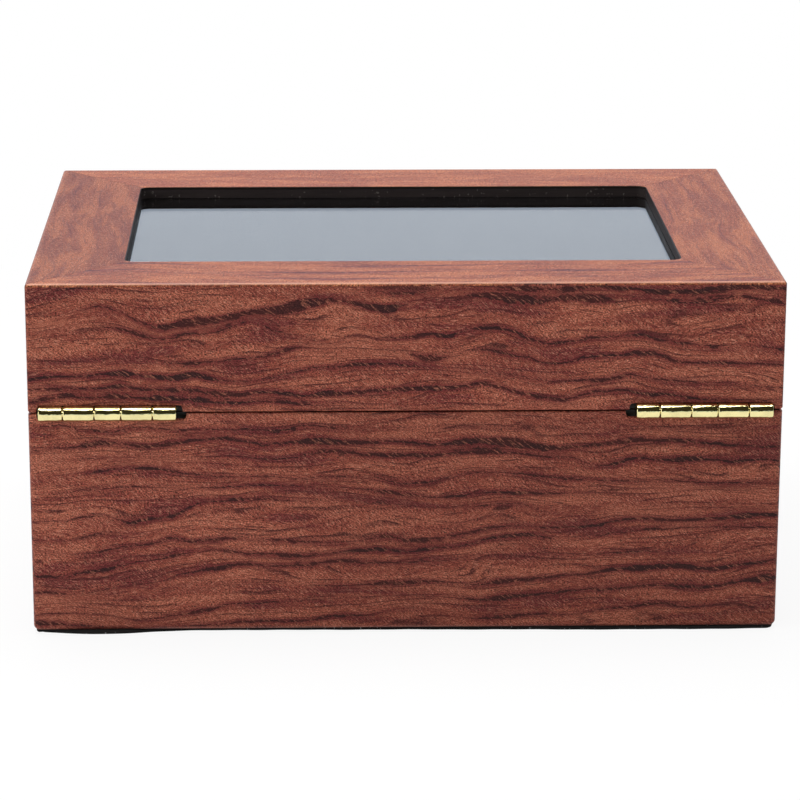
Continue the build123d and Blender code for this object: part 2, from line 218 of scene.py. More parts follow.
def loft_faces(rings, points, closed=False):
    """Quads between successive rings of a closed loop, with the two end rings capped."""
    index = np.arange(rings * points).reshape(rings, points)
    ahead = np.roll(index, -1, axis=0) if closed else index[1:]
    here = index if closed else index[:-1]
    quads = np.stack([here, np.roll(here, -1, 1), np.roll(ahead, -1, 1), ahead], -1)
    faces = quads.reshape(-1, 4).tolist()
    if not closed:
        faces += [index[0].tolist(), index[-1][::-1].tolist()]
    return faces


def loft(name, rings, attributes=None, closed=False):
    """A closed solid through rings, an array of shape (rings, points round, 3)."""
    rings = np.asarray(rings, float)
    return object_from(name, rings, loft_faces(*rings.shape[:2], closed), attributes)


def soft_box(name, low, high, radius, step):
    """A box with round edges: each point of a cube's grid is pulled to the nearest point of the
    inner box that is smaller by the radius, and then stands off it by the radius."""
    low, high = np.array(low, float), np.array(high, float)
    half, middle = (high - low) / 2, (high + low) / 2
    lines = []
    for h in half:
        turn = np.tan(np.linspace(0, pi / 4, 4)) * radius
        inner = h - radius
        count = max(2, int(2 * inner / step) + 1)
        straight = np.linspace(-inner, inner, count)
        lines.append(np.concatenate([-(inner + turn[::-1][:-1]), straight, inner + turn[1:]]))
    points, faces, first = [], [], 0
    for axis in range(3):
        a, b = (axis + 1) % 3, (axis + 2) % 3
        for sign in (-1, 1):
            u, v = np.meshgrid(lines[a], lines[b], indexing="ij")
            p = np.empty(u.shape + (3,))
            p[..., axis], p[..., a], p[..., b] = sign * half[axis], u, v
            inside = np.clip(p, -(half - radius), half - radius)
            away = p - inside
            away /= np.linalg.norm(away, axis=-1, keepdims=True)
            faces += grid_faces(*u.shape, first)
            points.append((inside + away * radius).reshape(-1, 3) + middle)
            first += u.size
    return object_from(name, np.concatenate(points), faces)


# ================================================================ the veneer's figure

# Veins of the back, listed as seen from behind, each from left to right: how far along
# from the middle, how high above the foot of the wood, and how strong, where 1 is a full vein.
LID_VEINS = (
    ((-103, 94, .2), (-95, 96.5, .5), (-86, 97.2, .6), (-76, 96.2, .3), (-55, 95.8, .1),
     (-20, 96.5, .1), (0, 95.6, .6), (8, 96, .6), (15, 97.3, .5), (22, 97, .9), (30, 96.9, 1.2),
     (38, 96.3, 1.1), (52, 97.1, 1.3), (60, 96.4, 1.2), (68, 95.7, 1.3), (76, 95.4, 1.4),
     (82, 96.1, 1.4), (91, 97.2, 1.3), (103, 96.1, 1.2)),
    ((-103, 87.5, .1), (-96, 88.5, .2), (-88, 91.3, .4), (-83, 92.1, .6), (-78, 91, .6),
     (-73, 88.3, .6), (-68, 86.2, 1.1), (-60, 87.3, 1.6), (-50, 88.7, 1.7), (-42, 90.3, 1.6),
     (-34, 91.2, 2.3), (-26, 93.2, 1.9), (-17, 93.7, 1), (-12, 92.5, 1.6), (-5, 91.4, 1.7),
     (0, 92.6, .5), (10, 94.7, .2), (22, 95, 1.3), (30, 93.9, 1.5), (36, 93.6, 1.2),
     (44, 94.3, 1.3), (52, 93.8, 1.4), (58, 94.1, .4), (66, 94.2, .5), (73, 93.2, 1.1),
     (81, 93.3, 1), (89, 94.5, .6), (97, 93.6, 1.1), (103, 92.8, 1.1)),
    ((-103, 84, .2), (-92, 85.5, .2), (-85, 86.6, .3), (-78, 86.2, .9), (-72, 84.4, 1.2),
     (-66, 83.1, .7), (-60, 84.4, .6), (-52, 85, .6), (-46, 87.1, .7), (-42, 87.9, .4),
     (-36, 85.5, .5), (-28, 83.4, .2), (-21, 81.9, .3), (-14, 83.6, .4), (-7, 82.8, .5),
     (0, 83.2, 1), (6, 84.1, 1), (12, 83.6, .9), (16, 85.2, .5), (21, 85.6, .9), (26, 85.6, .9),
     (31, 83.8, .8), (37, 81.4, .9), (43, 81.7, .8), (50, 82.8, .7), (57, 83.3, .7),
     (63, 83.7, .8), (70, 82.1, .7), (77, 81.1, .6), (84, 80.3, .6), (92, 80.9, .4),
     (103, 79.1, .6)),
    ((-103, 77, .3), (-88, 77.5, .4), (-70, 77, .3), (-60, 76.3, .5), (-48, 77.1, .7),
     (-40, 78, .7), (-34, 79.4, .9), (-30, 80.8, .8), (-24, 80.4, .4), (-12, 79.6, .2),
     (0, 78.6, .3), (6, 77.2, 1.4), (12, 77.7, .5), (20, 79.8, .5), (27, 78.6, .9),
     (33, 77.5, .8), (38, 75.8, .6), (44, 76.2, .6), (50, 77.8, .7), (58, 78.1, .8),
     (64, 78.7, 1.1), (69, 78.1, 1.1), (73, 76.4, .9), (80, 75.9, .8), (90, 75.6, .8),
     (103, 75.2, .7)),
    ((-103, 71.8, .9), (-97, 72.6, 1), (-88, 72.8, .9), (-82, 73.3, 1), (-77, 73.7, 1.5),
     (-73, 73, .5), (-68, 72.5, 1.2), (-62, 72.3, 1.7), (-58, 73.2, 1.5), (-53, 72, 1),
     (-46, 71, .6), (-39, 71.6, .5), (-33, 73.2, .6), (-26, 74.8, .8), (-20, 75.2, .8),
     (-12, 76, .9), (-4, 76.1, .8), (4, 75.2, .5), (12, 73.8, .3), (28, 72.8, .4), (36, 71.2, .5),
     (44, 70.8, .5), (51, 71, .8), (56, 71.3, .9), (60, 72.5, .7), (67, 71.3, .7), (75, 70.6, .6),
     (84, 70.2, .5), (103, 68.5, .5)),
    ((-103, 69.1, .5), (-92, 69.3, .7), (-84, 69.2, .7), (-79, 70, .8), (-72, 69, .8),
     (-60, 68.8, .9), (-52, 67.8, .9), (-46, 67.6, .9), (-40, 68.1, .9), (-34, 67.8, .9),
     (-29, 66.9, 1.1), (-22, 67.5, 1.5), (-15, 67.6, 1), (-8, 68.5, 1), (0, 68.7, 1.3),
     (8, 69.1, 1.3), (14, 69.2, 1), (20, 70.4, 1.1), (26, 69, .9), (32, 67.3, 1),
     (38, 65.9, .9), (44, 65.5, .9), (48, 67, 1), (54, 67.9, 1), (61, 67.9, .9), (66, 66.9, 1),
     (72, 66.9, .9), (78, 65.6, 1), (90, 65.1, .7), (103, 64.9, .5)),
    ((-103, 65.4, .9), (-98, 66.5, 1), (-93, 67.5, 1.1), (-86, 67, 1), (-79, 67.2, 1.3),
     (-71, 66.7, 1), (-58, 66.3, 1.3), (-52, 65.6, 1.3), (-44, 65.5, 1.1), (-38, 65.9, .9),
     (-32, 65.4, 1.2), (-26, 64.7, .7), (-10, 64.4, .3), (20, 64.2, .3), (103, 63.6, .2)),
)
BASE_VEINS = (
    ((-103, 58, .5), (-95, 58.9, .7), (-87, 57.8, .6), (-80, 57, .7), (-74, 58.3, .6),
     (-65, 57.6, .7), (-48, 57.6, .8), (-34, 57.3, .9), (-27, 58.5, .8), (-20, 57.9, .6),
     (0, 58, .4), (25, 58.5, .5), (40, 57.2, .4), (68, 57.7, .5), (82, 56.8, .5), (103, 56.5, .3)),
    ((-103, 51.4, .6), (-95, 52.3, .7), (-90, 52.7, 1.1), (-85, 53.8, 1.5), (-79, 53.9, 1),
     (-70, 52.9, 1.2), (-64, 53.6, 1.1), (-58, 54.6, 1.2), (-50, 55, 1.1), (-44, 54.2, 1),
     (-38, 53.2, .9), (-32, 53.9, 1), (-22, 54, 2), (-14, 53.7, 1.5), (-7, 53.9, .8),
     (0, 53.7, 1.2), (6, 52.9, 1.2), (18, 54, 1.9), (26, 53.8, 1.7), (32, 53, 1.7),
     (38, 51.9, 1.4), (46, 52, 1), (54, 53, 1.1), (61, 54, 1.3), (67, 54, 1), (76, 53.8, 1.1),
     (84, 52.9, .9), (103, 51.8, .8)),
    ((-103, 48.6, .2), (-80, 49.8, .4), (-60, 49.8, .3), (-45, 50, .5), (-36, 49.1, .6),
     (-30, 49.8, .8), (-22, 51.3, .8), (-10, 50.3, 1.1), (8, 50.2, 1), (16, 50.8, 1.1),
     (30, 50.5, 1.1), (37, 49.5, .9), (45, 49.3, .7), (51, 47, .4), (58, 47.5, .9),
     (63, 49.1, .9), (68, 48.6, .8), (75, 48.4, 1.5), (82, 48.5, 1.1), (89, 47.8, .9),
     (96, 48.4, .9), (103, 48, .7)),
    ((-103, 43.2, .3), (-92, 44.5, .3), (-84, 45.9, .7), (-74, 46.9, .7), (-66, 46.2, 1),
     (-60, 45.2, .8), (-52, 44.3, .6), (-36, 44, .6), (-30, 43.3, .6), (-22, 43.9, .8),
     (-8, 43.5, .6), (0, 41.6, 1), (5, 42.2, .9), (12, 43.6, .6), (20, 45, .6), (30, 44.7, .6),
     (40, 43.4, .9), (48, 43, .7), (62, 42.1, .6), (70, 42.5, .6), (78, 41.7, .9), (103, 41.5, .5)),
    ((-103, 39, .2), (-84, 41, .5), (-76, 41.5, .6), (-60, 41.1, .5), (-50, 41.2, .7),
     (-43, 41.8, .8), (-30, 41.4, .7), (-16, 40.8, .6), (-2, 39, 1), (8, 38, .8), (15, 38.3, .8),
     (22, 39.1, .7), (33, 39, 1), (44, 38.9, .7), (60, 40, .5), (103, 39.4, .2)),
    ((-103, 31.9, .6), (-94, 31.7, .5), (-88, 33, .7), (-83, 33.2, .4), (-77, 31.4, .8),
     (-70, 32.1, 1.1), (-62, 33.8, 1), (-58, 36.4, .8), (-50, 37.4, .9), (-40, 38, 1),
     (-32, 37.4, .7), (-20, 37.2, .4), (-2, 36.2, .6), (10, 35, .2), (20, 35.4, .6), (27, 36.2, .7),
     (35, 35.2, .4), (60, 35, .2), (103, 35, .1)),
    ((-103, 23.6, .4), (-92, 22.1, .5), (-84, 22.7, .7), (-77, 24.3, .8), (-70, 25.1, .9),
     (-64, 26.6, .9), (-60, 25.7, .7), (-53, 25.9, 1.2), (-46, 26.6, .6), (-36, 25.8, .7),
     (-28, 25.2, 1), (-20, 24.8, .7), (-12, 25.4, .7), (-5, 26.6, .9), (0, 25.5, 1.1),
     (8, 25.9, 1.1), (15, 27, 1), (24, 29, 1), (31, 29.6, .7), (38, 29, .8), (46, 29.1, .9),
     (52, 29.4, 1.2), (58, 31, 1), (65, 31.4, 1.2), (73, 31, 1), (88, 31.5, 1.3), (95, 32.3, 1.7),
     (103, 32.4, 1.1)),
    ((-103, 15.9, .9), (-95, 15.8, .8), (-90, 16.6, 1.3), (-85, 17.2, 1.5), (-79, 18.8, .8),
     (-70, 20.4, .6), (-61, 22.1, .7), (-54, 23.2, .4), (-44, 22, .8), (-38, 21.8, .8),
     (-29, 21.3, 1.1), (-20, 22, .8), (-13, 22.9, 1.7), (-7, 23, 1.5), (1, 22.5, 1.1),
     (8, 23.3, 1), (17, 24.2, .9), (24, 26.3, 1), (30, 26.9, 1.1), (36, 26.8, 1.1), (42, 25.5, .3),
     (56, 27.3, .7), (63, 28, .6), (84, 29.1, .7), (103, 28.6, .5)),
    ((-103, 11, .9), (-96, 10.9, .8), (-92, 10.4, .5), (-78, 12.8, .6), (-68, 14.2, .5),
     (-62, 16, .9), (-56, 17.4, 1.1), (-50, 18.3, 1.1), (-45, 19, .9), (-36, 18.5, .9),
     (-28, 18.8, .9), (-19, 19.9, 1), (-12, 19.3, .9), (6, 19.6, .7), (24, 20.8, .3),
     (44, 20.5, .2), (58, 21.8, .6), (80, 22, .3), (103, 22.6, .2)),
    ((-103, 7.8, .2), (-78, 9, .3), (-56, 11.5, .3), (-45, 13.5, .5), (-32, 13.2, .3),
     (-18, 12.1, .7), (-9, 13, .8), (-3, 13.1, 1.2), (6, 13.5, 1), (14, 13, .5), (20, 12.4, .8),
     (26, 13.5, 1.4), (36, 14.2, .9), (44, 15.2, .6), (52, 15.7, .9), (58, 16.9, 1.5),
     (66, 17.2, 1.5), (75, 17.8, 1.6), (84, 16.8, 1.2), (92, 17.9, 1.3), (103, 19.4, .8)),
    ((-103, 4.7, .5), (-92, 5.2, .5), (-82, 4.3, .5), (-76, 2.9, .7), (-68, 3.4, .9),
     (-61, 4.6, .9), (-55, 5.7, 1), (-50, 7.2, .8), (-40, 7.6, .9), (-26, 8.4, .5),
     (-8, 9.6, .3), (10, 9.1, .5), (22, 8.3, .9), (28, 8.9, 1.3), (40, 10, .8), (49, 11, 1.1),
     (57, 11.1, .9), (69, 12.1, .8), (76, 11.6, 1), (83, 11.3, 1), (94, 13.3, 1),
     (99, 13.7, 1.9), (103, 14, 1.3)),
    ((-103, 2.4, 1.4), (-95, 2, 1.1), (-86, 1.1, .6), (-66, .9, .4), (-52, 1.5, .8),
     (-44, 2.4, .8), (-28, 2.5, .8), (-19, 3.8, 1.1), (-12, 3.9, .8), (-4, 5.1, .6),
     (8, 5, .3), (17, 3, .4), (24, 2.9, 1.1), (36, 3.9, 1), (48, 4, .6), (56, 5.4, .8),
     (64, 6, 1), (70, 6.8, 1.1), (78, 5.7, .9), (90, 6.6, .4), (103, 7.6, .4)),
)


def smooth_through(knots, along):
    """A cubic through a few knots (columns: along, then what varies), its slope at each knot
    being that of the chord between the two knots beside it."""
    knots = np.asarray(knots, float)
    x, y = knots[:, 0], knots[:, 1:]
    slope = np.gradient(y, x, axis=0)
    i = np.clip(np.searchsorted(x, along) - 1, 0, len(x) - 2)
    h = (x[i + 1] - x[i])[:, None]
    t = np.clip((along - x[i]) / (x[i + 1] - x[i]), 0, 1)[:, None]
    return ((2 * t**3 - 3 * t**2 + 1) * y[i] + (t**3 - 2 * t**2 + t) * h * slope[i]
            + (3 * t**2 - 2 * t**3) * y[i + 1] + (t**3 - t**2) * h * slope[i + 1])


def strengthened(veins, by):
    return [np.asarray(vein, float) * (1, 1, by) for vein in veins]


def wandering_veins(seed, half_length, low, high, spacing=4.6):
    """Veins drawn by chance: each is the height of its own level, plus a swell that all share,
    as a sum of three sines, plus a little of its own."""
    draw = np.random.default_rng(seed)
    along = np.linspace(-half_length, half_length, 25)
    shared = sum(a * np.sin(along / wave + draw.uniform(0, 6.3))
                 for a, wave in ((1.7, 31.0), (0.9, 13.0), (0.45, 6.0)))
    veins = []
    for level in np.arange(high - spacing / 2, low, -spacing):
        own = 0.55 * np.sin(along / draw.uniform(7, 12) + draw.uniform(0, 6.3))
        strength = 0.62 + 0.5 * np.sin(along / draw.uniform(8, 22) + draw.uniform(0, 6.3))
        strength += draw.uniform(-0.25, 0.35)
        veins.append(np.stack([along, level + shared + own, np.clip(strength, 0.1, 1.7)], -1))
    return veins


def figure_of(veins, along, height, shift, calm=0.0):
    """The two vectors that the veneer's finish reads at each point. grain is along and across the
    flow of the veins, in centimetres, and how calm the figure is. figure counts the veins passed,
    so that a vein lies at each whole number, and gives the vein's strength and the distance
    between veins there. Veins that would cross are kept the least gap apart."""
    least = 0.35
    shape = along.shape
    along, height = along.ravel(), height.ravel()
    lines = np.stack([smooth_through(v, along) for v in veins])
    level, strength = lines[..., 0], lines[..., 1]
    edge = np.full_like(level[:1], 9.0)
    level = np.concatenate([level[:1] + edge, level, level[-1:] - edge])
    order = least * np.arange(len(level))[:, None]
    level = np.minimum.accumulate(level - order, 0) + order
    strength = np.concatenate([strength[:1] * 0, strength, strength[-1:] * 0])
    below = np.clip((level > height).sum(0) - 1, 0, len(level) - 2)
    column = np.arange(len(along))
    upper, lower = level[below, column], level[below + 1, column]
    gap = np.maximum(upper - lower, least)
    share = (upper - height) / gap
    count = below + share
    weight = strength[below, column] * (1 - share) + strength[below + 1, column] * share
    mean = level.mean(1)
    across = np.interp(count, np.arange(len(mean)), mean)
    across = 0.6 * across + 0.4 * height
    grain = np.stack([along / 10 + shift, across / 10, np.full_like(along, calm)], -1)
    figure = np.stack([count, weight, gap], -1)
    return {"grain": grain.reshape(shape + (3,)), "figure": figure.reshape(shape + (3,))}


# ================================================================ finishes


def rosewood():
    """Figured rosewood veneer under a satin finish: orange brown to maroon bands, slanting
    fibres with a silky light of their own, fine contour veins, bold frayed veins that the fibres
    cut into, and short dark pores. It reads grain and figure, and paint, which says where there
    is black paint, a deeper tone, and a painted highlight along the eased edge."""
    wood = Finish("rosewood_veneer")
    along, across, calm = wood.parts(wood.attribute("grain"))
    paint, deep, painted_highlight = wood.parts(wood.attribute("paint"))
    bold = 1 - calm * 0.7
    count, weight, gap = wood.parts(wood.attribute("figure"))
    place = wood.vector(along, across)

    def cloud(length, width, seed, detail=2.0):
        return wood.noise(wood.vector(along / length, across / width, seed), 1.0, detail, 0.55)

    # fibres lean one way or another from patch to patch
    def fibre(lean, length, width):
        leaning = across - along * lean
        return wood.noise(wood.vector(along / length, leaning / width, lean), 1.0, 1.0, 0.6)

    patch = wood.ramp(cloud(2.2, 0.8, 4.0), 0.5, 0.6)
    steep, level = fibre(-0.75, 0.11, 0.03), fibre(-0.15, 0.2, 0.03)
    fibres = steep + (level - steep) * patch
    patch = wood.ramp(cloud(2.6, 0.9, 9.0), 0.58, 0.66)
    fibres = fibres + (fibre(0.35, 0.11, 0.03) - fibres) * patch
    fray = (fibres - 0.5) * 4
    strands = (cloud(1.1, 0.045, 5.0, 3.0) - 0.5) * 3

    # bands of the ground, their edges combed out by the fibres
    bands = cloud(2.8, 0.42, 7.0, 3.0) * 0.65 + cloud(5.0, 1.1, 2.0) * 0.35
    bands = bands + fray * 0.015 + strands * 0.02
    ground = wood.mix(wood.ramp(bands, 0.47, 0.57), colour(148, 74, 60), colour(174, 98, 77))
    ground = wood.mix(wood.ramp(bands, 0.4, 0.46, 0.8, 0.0) * bold, ground, colour(112, 43, 46))
    ground = wood.mix((fray * 0.57).limit(0, 0.65), ground, colour(212, 148, 124))
    ground = wood.mix((fray * -0.7).limit(0, 0.75) * bold, ground, colour(84, 32, 36))
    ground = wood.mix(wood.ramp(calm, 0.0, 0.4), ground, (0.84, 0.875, 0.61), "MULTIPLY")

    # contour veins, that keep beside the bold ones
    contour = cloud(4.0, 0.95, 11.0, 1.5)
    step = (contour * 6 + count * 2.6 + fray * 0.06 + strands * 0.05).math("FRACT")
    line = wood.ramp(step, 0.0, 0.5, 1.0, 0.0) * wood.ramp(step, 0.0, 0.06)
    present = wood.ramp(cloud(1.9, 0.3, 21.0), 0.42, 0.6) * bold
    ground = wood.mix(line * present * 0.75, ground, colour(88, 32, 36))
    edge = wood.ramp(step, 0.06, 0.2, 1.0, 0.0) * wood.ramp(step, 0.0, 0.05)
    ground = wood.mix(edge * wood.ramp(present, 0.4, 1.0) * 0.7, ground, colour(62, 26, 30))

    # threads between them, each a thin line
    thread = (contour * 9 + count * 5.3 + fray * 0.1 + strands * 0.12).math("FRACT")
    thread = wood.ramp(thread, 0.0, 0.08) * wood.ramp(thread, 0.12, 0.34, 1.0, 0.0)
    thread = thread * wood.ramp(cloud(1.1, 0.3, 51.0), 0.46, 0.6)
    ground = wood.mix(thread * (1 - calm * 0.4) * 0.7, ground, colour(84, 34, 36))

    # bold veins at the whole numbers of the count, made of strands and cut by slanting fibres
    nearest = (count + 0.5).math("FLOOR")
    signed = (count - nearest) * gap + (wood.noise(place, 3.2, 3.0, 0.6) - 0.5) * 1.6
    thickness = wood.noise(wood.vector(along * 1.1, nearest * 3.7), 1.0, 2.0) * 1.3 + 0.3
    thickness = thickness * weight
    half = (thickness * thickness) * 0.4 + thickness * 0.1
    reach = half - abs(signed)
    slash = (fibre(-0.7, 0.4, 0.075) - 0.52) * 5
    rag = reach + strands * (half * 0.4 + 0.2) + fray * 0.1 - slash.limit() * half * 0.6
    dark = wood.ramp(rag, -0.08, 0.18) * wood.ramp(weight, 0.1, 0.7)
    halo = wood.ramp(reach + strands * 0.4 + fray * 0.2, -1.3, 0.0)
    halo = halo * wood.ramp(weight, 0.1, 1.0) * 0.7
    ground = wood.mix(halo, ground, colour(100, 33, 40))
    shade = wood.mix(wood.ramp(bands, 0.42, 0.58), colour(50, 22, 29), colour(70, 27, 30))
    shade = wood.mix((slash * 0.8 + fray * 0.7 - 0.15).limit(0, 0.7), shade, colour(178, 108, 86))
    tone = wood.mix(dark, ground, shade)

    # pores: short dashes, one to a stretched cell
    dash = wood.add("ShaderNodeTexVoronoi", {"feature": "F1"}, {
        "Vector": wood.vector(along * 5.0, (across + along * 0.4) * 15.0), "Scale": 1.0})
    pores = wood.ramp(dash, 0.1, 0.28, 1.0, 0.0)
    pores = pores * wood.ramp(cloud(0.8, 0.2, 33.0) + calm * 0.06, 0.48, 0.6)
    tone = wood.mix(pores * 0.85, tone, colour(40, 20, 24))

    # the coarse surface, the deeper tone, a painted highlight along the eased edge, and black paint
    grit = wood.noise(wood.vector(along / 0.045, across / 0.025), 1.0, 1.0) - 0.5
    speck = grit * (3.6 + calm) + wood.ramp(calm, 0.0, 0.5, 0.96, 1.01)
    tone = wood.mix(1.0, tone, wood.vector(speck, speck, speck), "MULTIPLY")
    tone = wood.mix(deep, tone, (0.66, 0.6, 0.62), "MULTIPLY")
    # painted highlight: a pale colour along the eased top edge, where a gloss reflection would show
    tone = wood.mix(painted_highlight, tone, colour(226, 172, 150))
    tone = wood.mix(paint, tone, colour(24, 20, 20))

    relief = fibres * 0.8 - pores * 0.8 - dark * 0.25
    return wood.surface(Base_Color=tone, Roughness=wood.ramp(fibres, 0.3, 0.7, 0.52, 0.4),
                        Specular_IOR_Level=0.2, Specular_Tint=(1.0, 0.9, 0.7, 1.0),
                        Normal=wood.bump(relief, 0.35, 0.0001))


def metal(name, tone, roughness):
    """Polished plate over metal that is a little wavy, pitted in places, with duller clouds."""
    plate = Finish(name)
    place = plate.position()
    x, y, z = plate.parts(place)
    cloud = plate.noise(place, 260.0, 3.0, 0.6)
    waves = plate.noise(plate.vector(x * 380, y * 700, z * 700), 1.0, 2.0)
    pitted = plate.ramp(plate.noise(plate.vector(x * 75, 0.4), 1.0, 1.0), 0.5, 0.56)
    pits = plate.noise(place, 2200.0, 1.0) * pitted
    worn = plate.mix(plate.ramp(cloud, 0.35, 0.7), tone, tuple(c * 0.88 for c in tone))
    rough = plate.ramp(cloud, 0.3, 0.7, roughness * 0.7, roughness * 1.5)
    return plate.surface(Base_Color=worn, Metallic=1.0, Roughness=rough,
                         Normal=plate.bump(waves + pits * 0.35, 0.5, 0.0002))


def painted_black():
    """Satin black paint over end grain, a little lighter where the brush left it thin, with
    specks of dust."""
    paint = Finish("blackened_board")
    place = paint.position()
    x, y, z = paint.parts(place)
    grain = paint.noise(paint.vector(x * 60, y * 60, z * 900), 1.0, 3.0, 0.6)
    dust = paint.ramp(paint.noise(place, 900.0, 1.0), 0.69, 0.76)
    tone = paint.mix(grain, colour(39, 34, 34), colour(60, 52, 51))
    tone = paint.mix(dust * 0.5, tone, colour(120, 112, 108))
    return paint.surface(Base_Color=tone, Roughness=0.6, Specular_IOR_Level=0.1,
                         Normal=paint.bump(grain, 0.2, 0.0001))


def core_wood():
    """Stained board under the veneer, black in the grooves cut for the hinges."""
    core = Finish("core_board")
    x, y, z = core.parts(core.position())
    streak = core.noise(core.vector(x * 40, y * 40, z * 500), 1.0, 4.0, 0.6)
    fine = core.noise(core.vector(x * 300, y * 300, z * 1500), 1.0, 2.0, 0.6)
    tone = core.mix(streak, colour(84, 46, 38), colour(120, 70, 54))
    tone = core.mix(fine * 0.4, tone, colour(60, 34, 30))
    near = core.vector(0.0, y - HINGE_Y * MM, z - SEAM * MM)
    reach = core.add("ShaderNodeVectorMath", {"operation": "LENGTH"}, {0: near}, "Value")
    groove = core.ramp(reach, (GROOVE_RADIUS + 0.05) * MM, (GROOVE_RADIUS + 0.35) * MM, 1.0, 0.0)
    tone = core.mix(groove, tone, colour(16, 12, 11))
    return core.surface(Base_Color=tone, Roughness=0.6,
                        Normal=core.bump(streak + fine, 0.25, 0.0001))


def velvet(name, tone, pile, lint=0.8):
    """Short pile: patches that lie one way or the other, a bright edge against the light, and
    pale lint where a fine noise passes a level."""
    cloth = Finish(name)
    place = cloth.position()
    nap = cloth.noise(place, 45.0, 3.0, 0.55)
    tuft = cloth.noise(place, 3200.0, 2.0, 0.7)
    shade = cloth.mix(cloth.ramp(nap, 0.35, 0.68), tuple(c * 0.55 for c in tone), tone)
    shade = cloth.mix((tuft * 0.8).limit(), shade, tuple(c * 1.9 for c in tone))
    flecks = cloth.ramp(cloth.noise(place, 1100.0, 1.0), lint, lint + 0.05)
    shade = cloth.mix(flecks, shade, colour(150, 150, 150))
    return cloth.surface(Base_Color=shade, Roughness=0.95, Specular_IOR_Level=0.1,
                         Sheen_Weight=pile, Sheen_Roughness=0.35,
                         Sheen_Tint=(0.75, 0.75, 0.8, 1.0),
                         Normal=cloth.bump(tuft + nap, 0.5, 0.00025))


def clear_glass():
    """Float glass, with a trace of green."""
    glass = Finish("clear_glass")
    return glass.surface(Base_Color=(0.97, 0.985, 0.98, 1.0), Transmission_Weight=1.0, IOR=1.5,
                         Roughness=0.0)


SLOTS = {
    "rosewood_veneer": rosewood(),
    "brass": metal("brass", colour(247, 234, 172), 0.1),
    "blackened_board": painted_black(),
    "core_board": core_wood(),
    "velvet": velvet("velvet", colour(26, 26, 29), 0.25),
    "felt": velvet("felt", colour(34, 33, 33), 0.1, 0.7),
    "glass": clear_glass(),
}

# every solid of the part gets its slot's material, and those that no piece replaces keep showing
for subpart in frame["record"]["subparts"]:
    node = frame["nodes"][subpart["node"]]
    node.data.materials.clear()
    node.data.materials.append(SLOTS[subpart["material_slot"]])


# ================================================================ the veneers

SIDES = {"front": -90.0, "back": 90.0, "left": 180.0, "right": 0.0}


def case_halves(side):
    """Half the case along a side and half of it across."""
    return (HALF_WIDTH, HALF_DEPTH) if side in ("front", "back") else (HALF_DEPTH, HALF_WIDTH)


def turned(points, side):
    """Points laid out for a board at the back, its length along X and facing +Y, turned to its
    side of the case."""
    angle = radians(SIDES[side] - 90.0)
    turn = np.array([[cos(angle), sin(angle), 0], [-sin(angle), cos(angle), 0], [0, 0, 1]])
    return points @ turn


def board_path(half_long, half_across, ease, step, breaks=()):
    """Along a board's length, from its mitre at -X to the one at +X: the inner rectangle's
    corner or edge, and the angle from straight out, which runs from -45 to 45 degrees round the
    two eased uprights. Columns: x, y, angle."""
    corner = half_long - ease
    count = int(2 * corner / step)
    x = np.union1d(np.linspace(-corner, corner, count), np.array(breaks, float))
    turn = radians(1) * np.linspace(45, 0, 5)[:-1]
    x = np.concatenate([np.full(4, -corner), x, np.full(4, corner)])
    angle = np.concatenate([-turn, np.zeros(len(x) - 8), turn[::-1]])
    return np.stack([x, np.full_like(x, half_across - ease), angle], -1)


# how far from the middle the grooves for the barrels begin and end, and how round they run out
GROOVE_ENDS = {"lid": (60.9, 100.7), "base": (59.9, 100.7)}
GROOVE_ROUND = 0.9


def rim_cut(x, body, rim):
    """How the veneer's rim steps back at the barrels of the hinges: where the veneer's outer and
    inner faces meet the round groove, which runs out in a quarter round at both its ends."""
    low, high = GROOVE_ENDS[body]
    within = np.minimum(np.abs(x) - low, high - np.abs(x)) / GROOVE_ROUND
    cut = np.sqrt(1 - (1 - np.clip(within, 0, 1))**2)
    way = 1 if body == "lid" else -1
    deep = [SEAM + way * sqrt(GROOVE_RADIUS**2 - (HINGE_Y - y)**2)
            for y in (HALF_DEPTH, HALF_DEPTH - VENEER / 2, HALF_DEPTH - VENEER)]
    plain = [rim + way * RIM_BEVEL, rim, rim]
    return [p + (d - p) * cut for d, p in zip(deep, plain)]


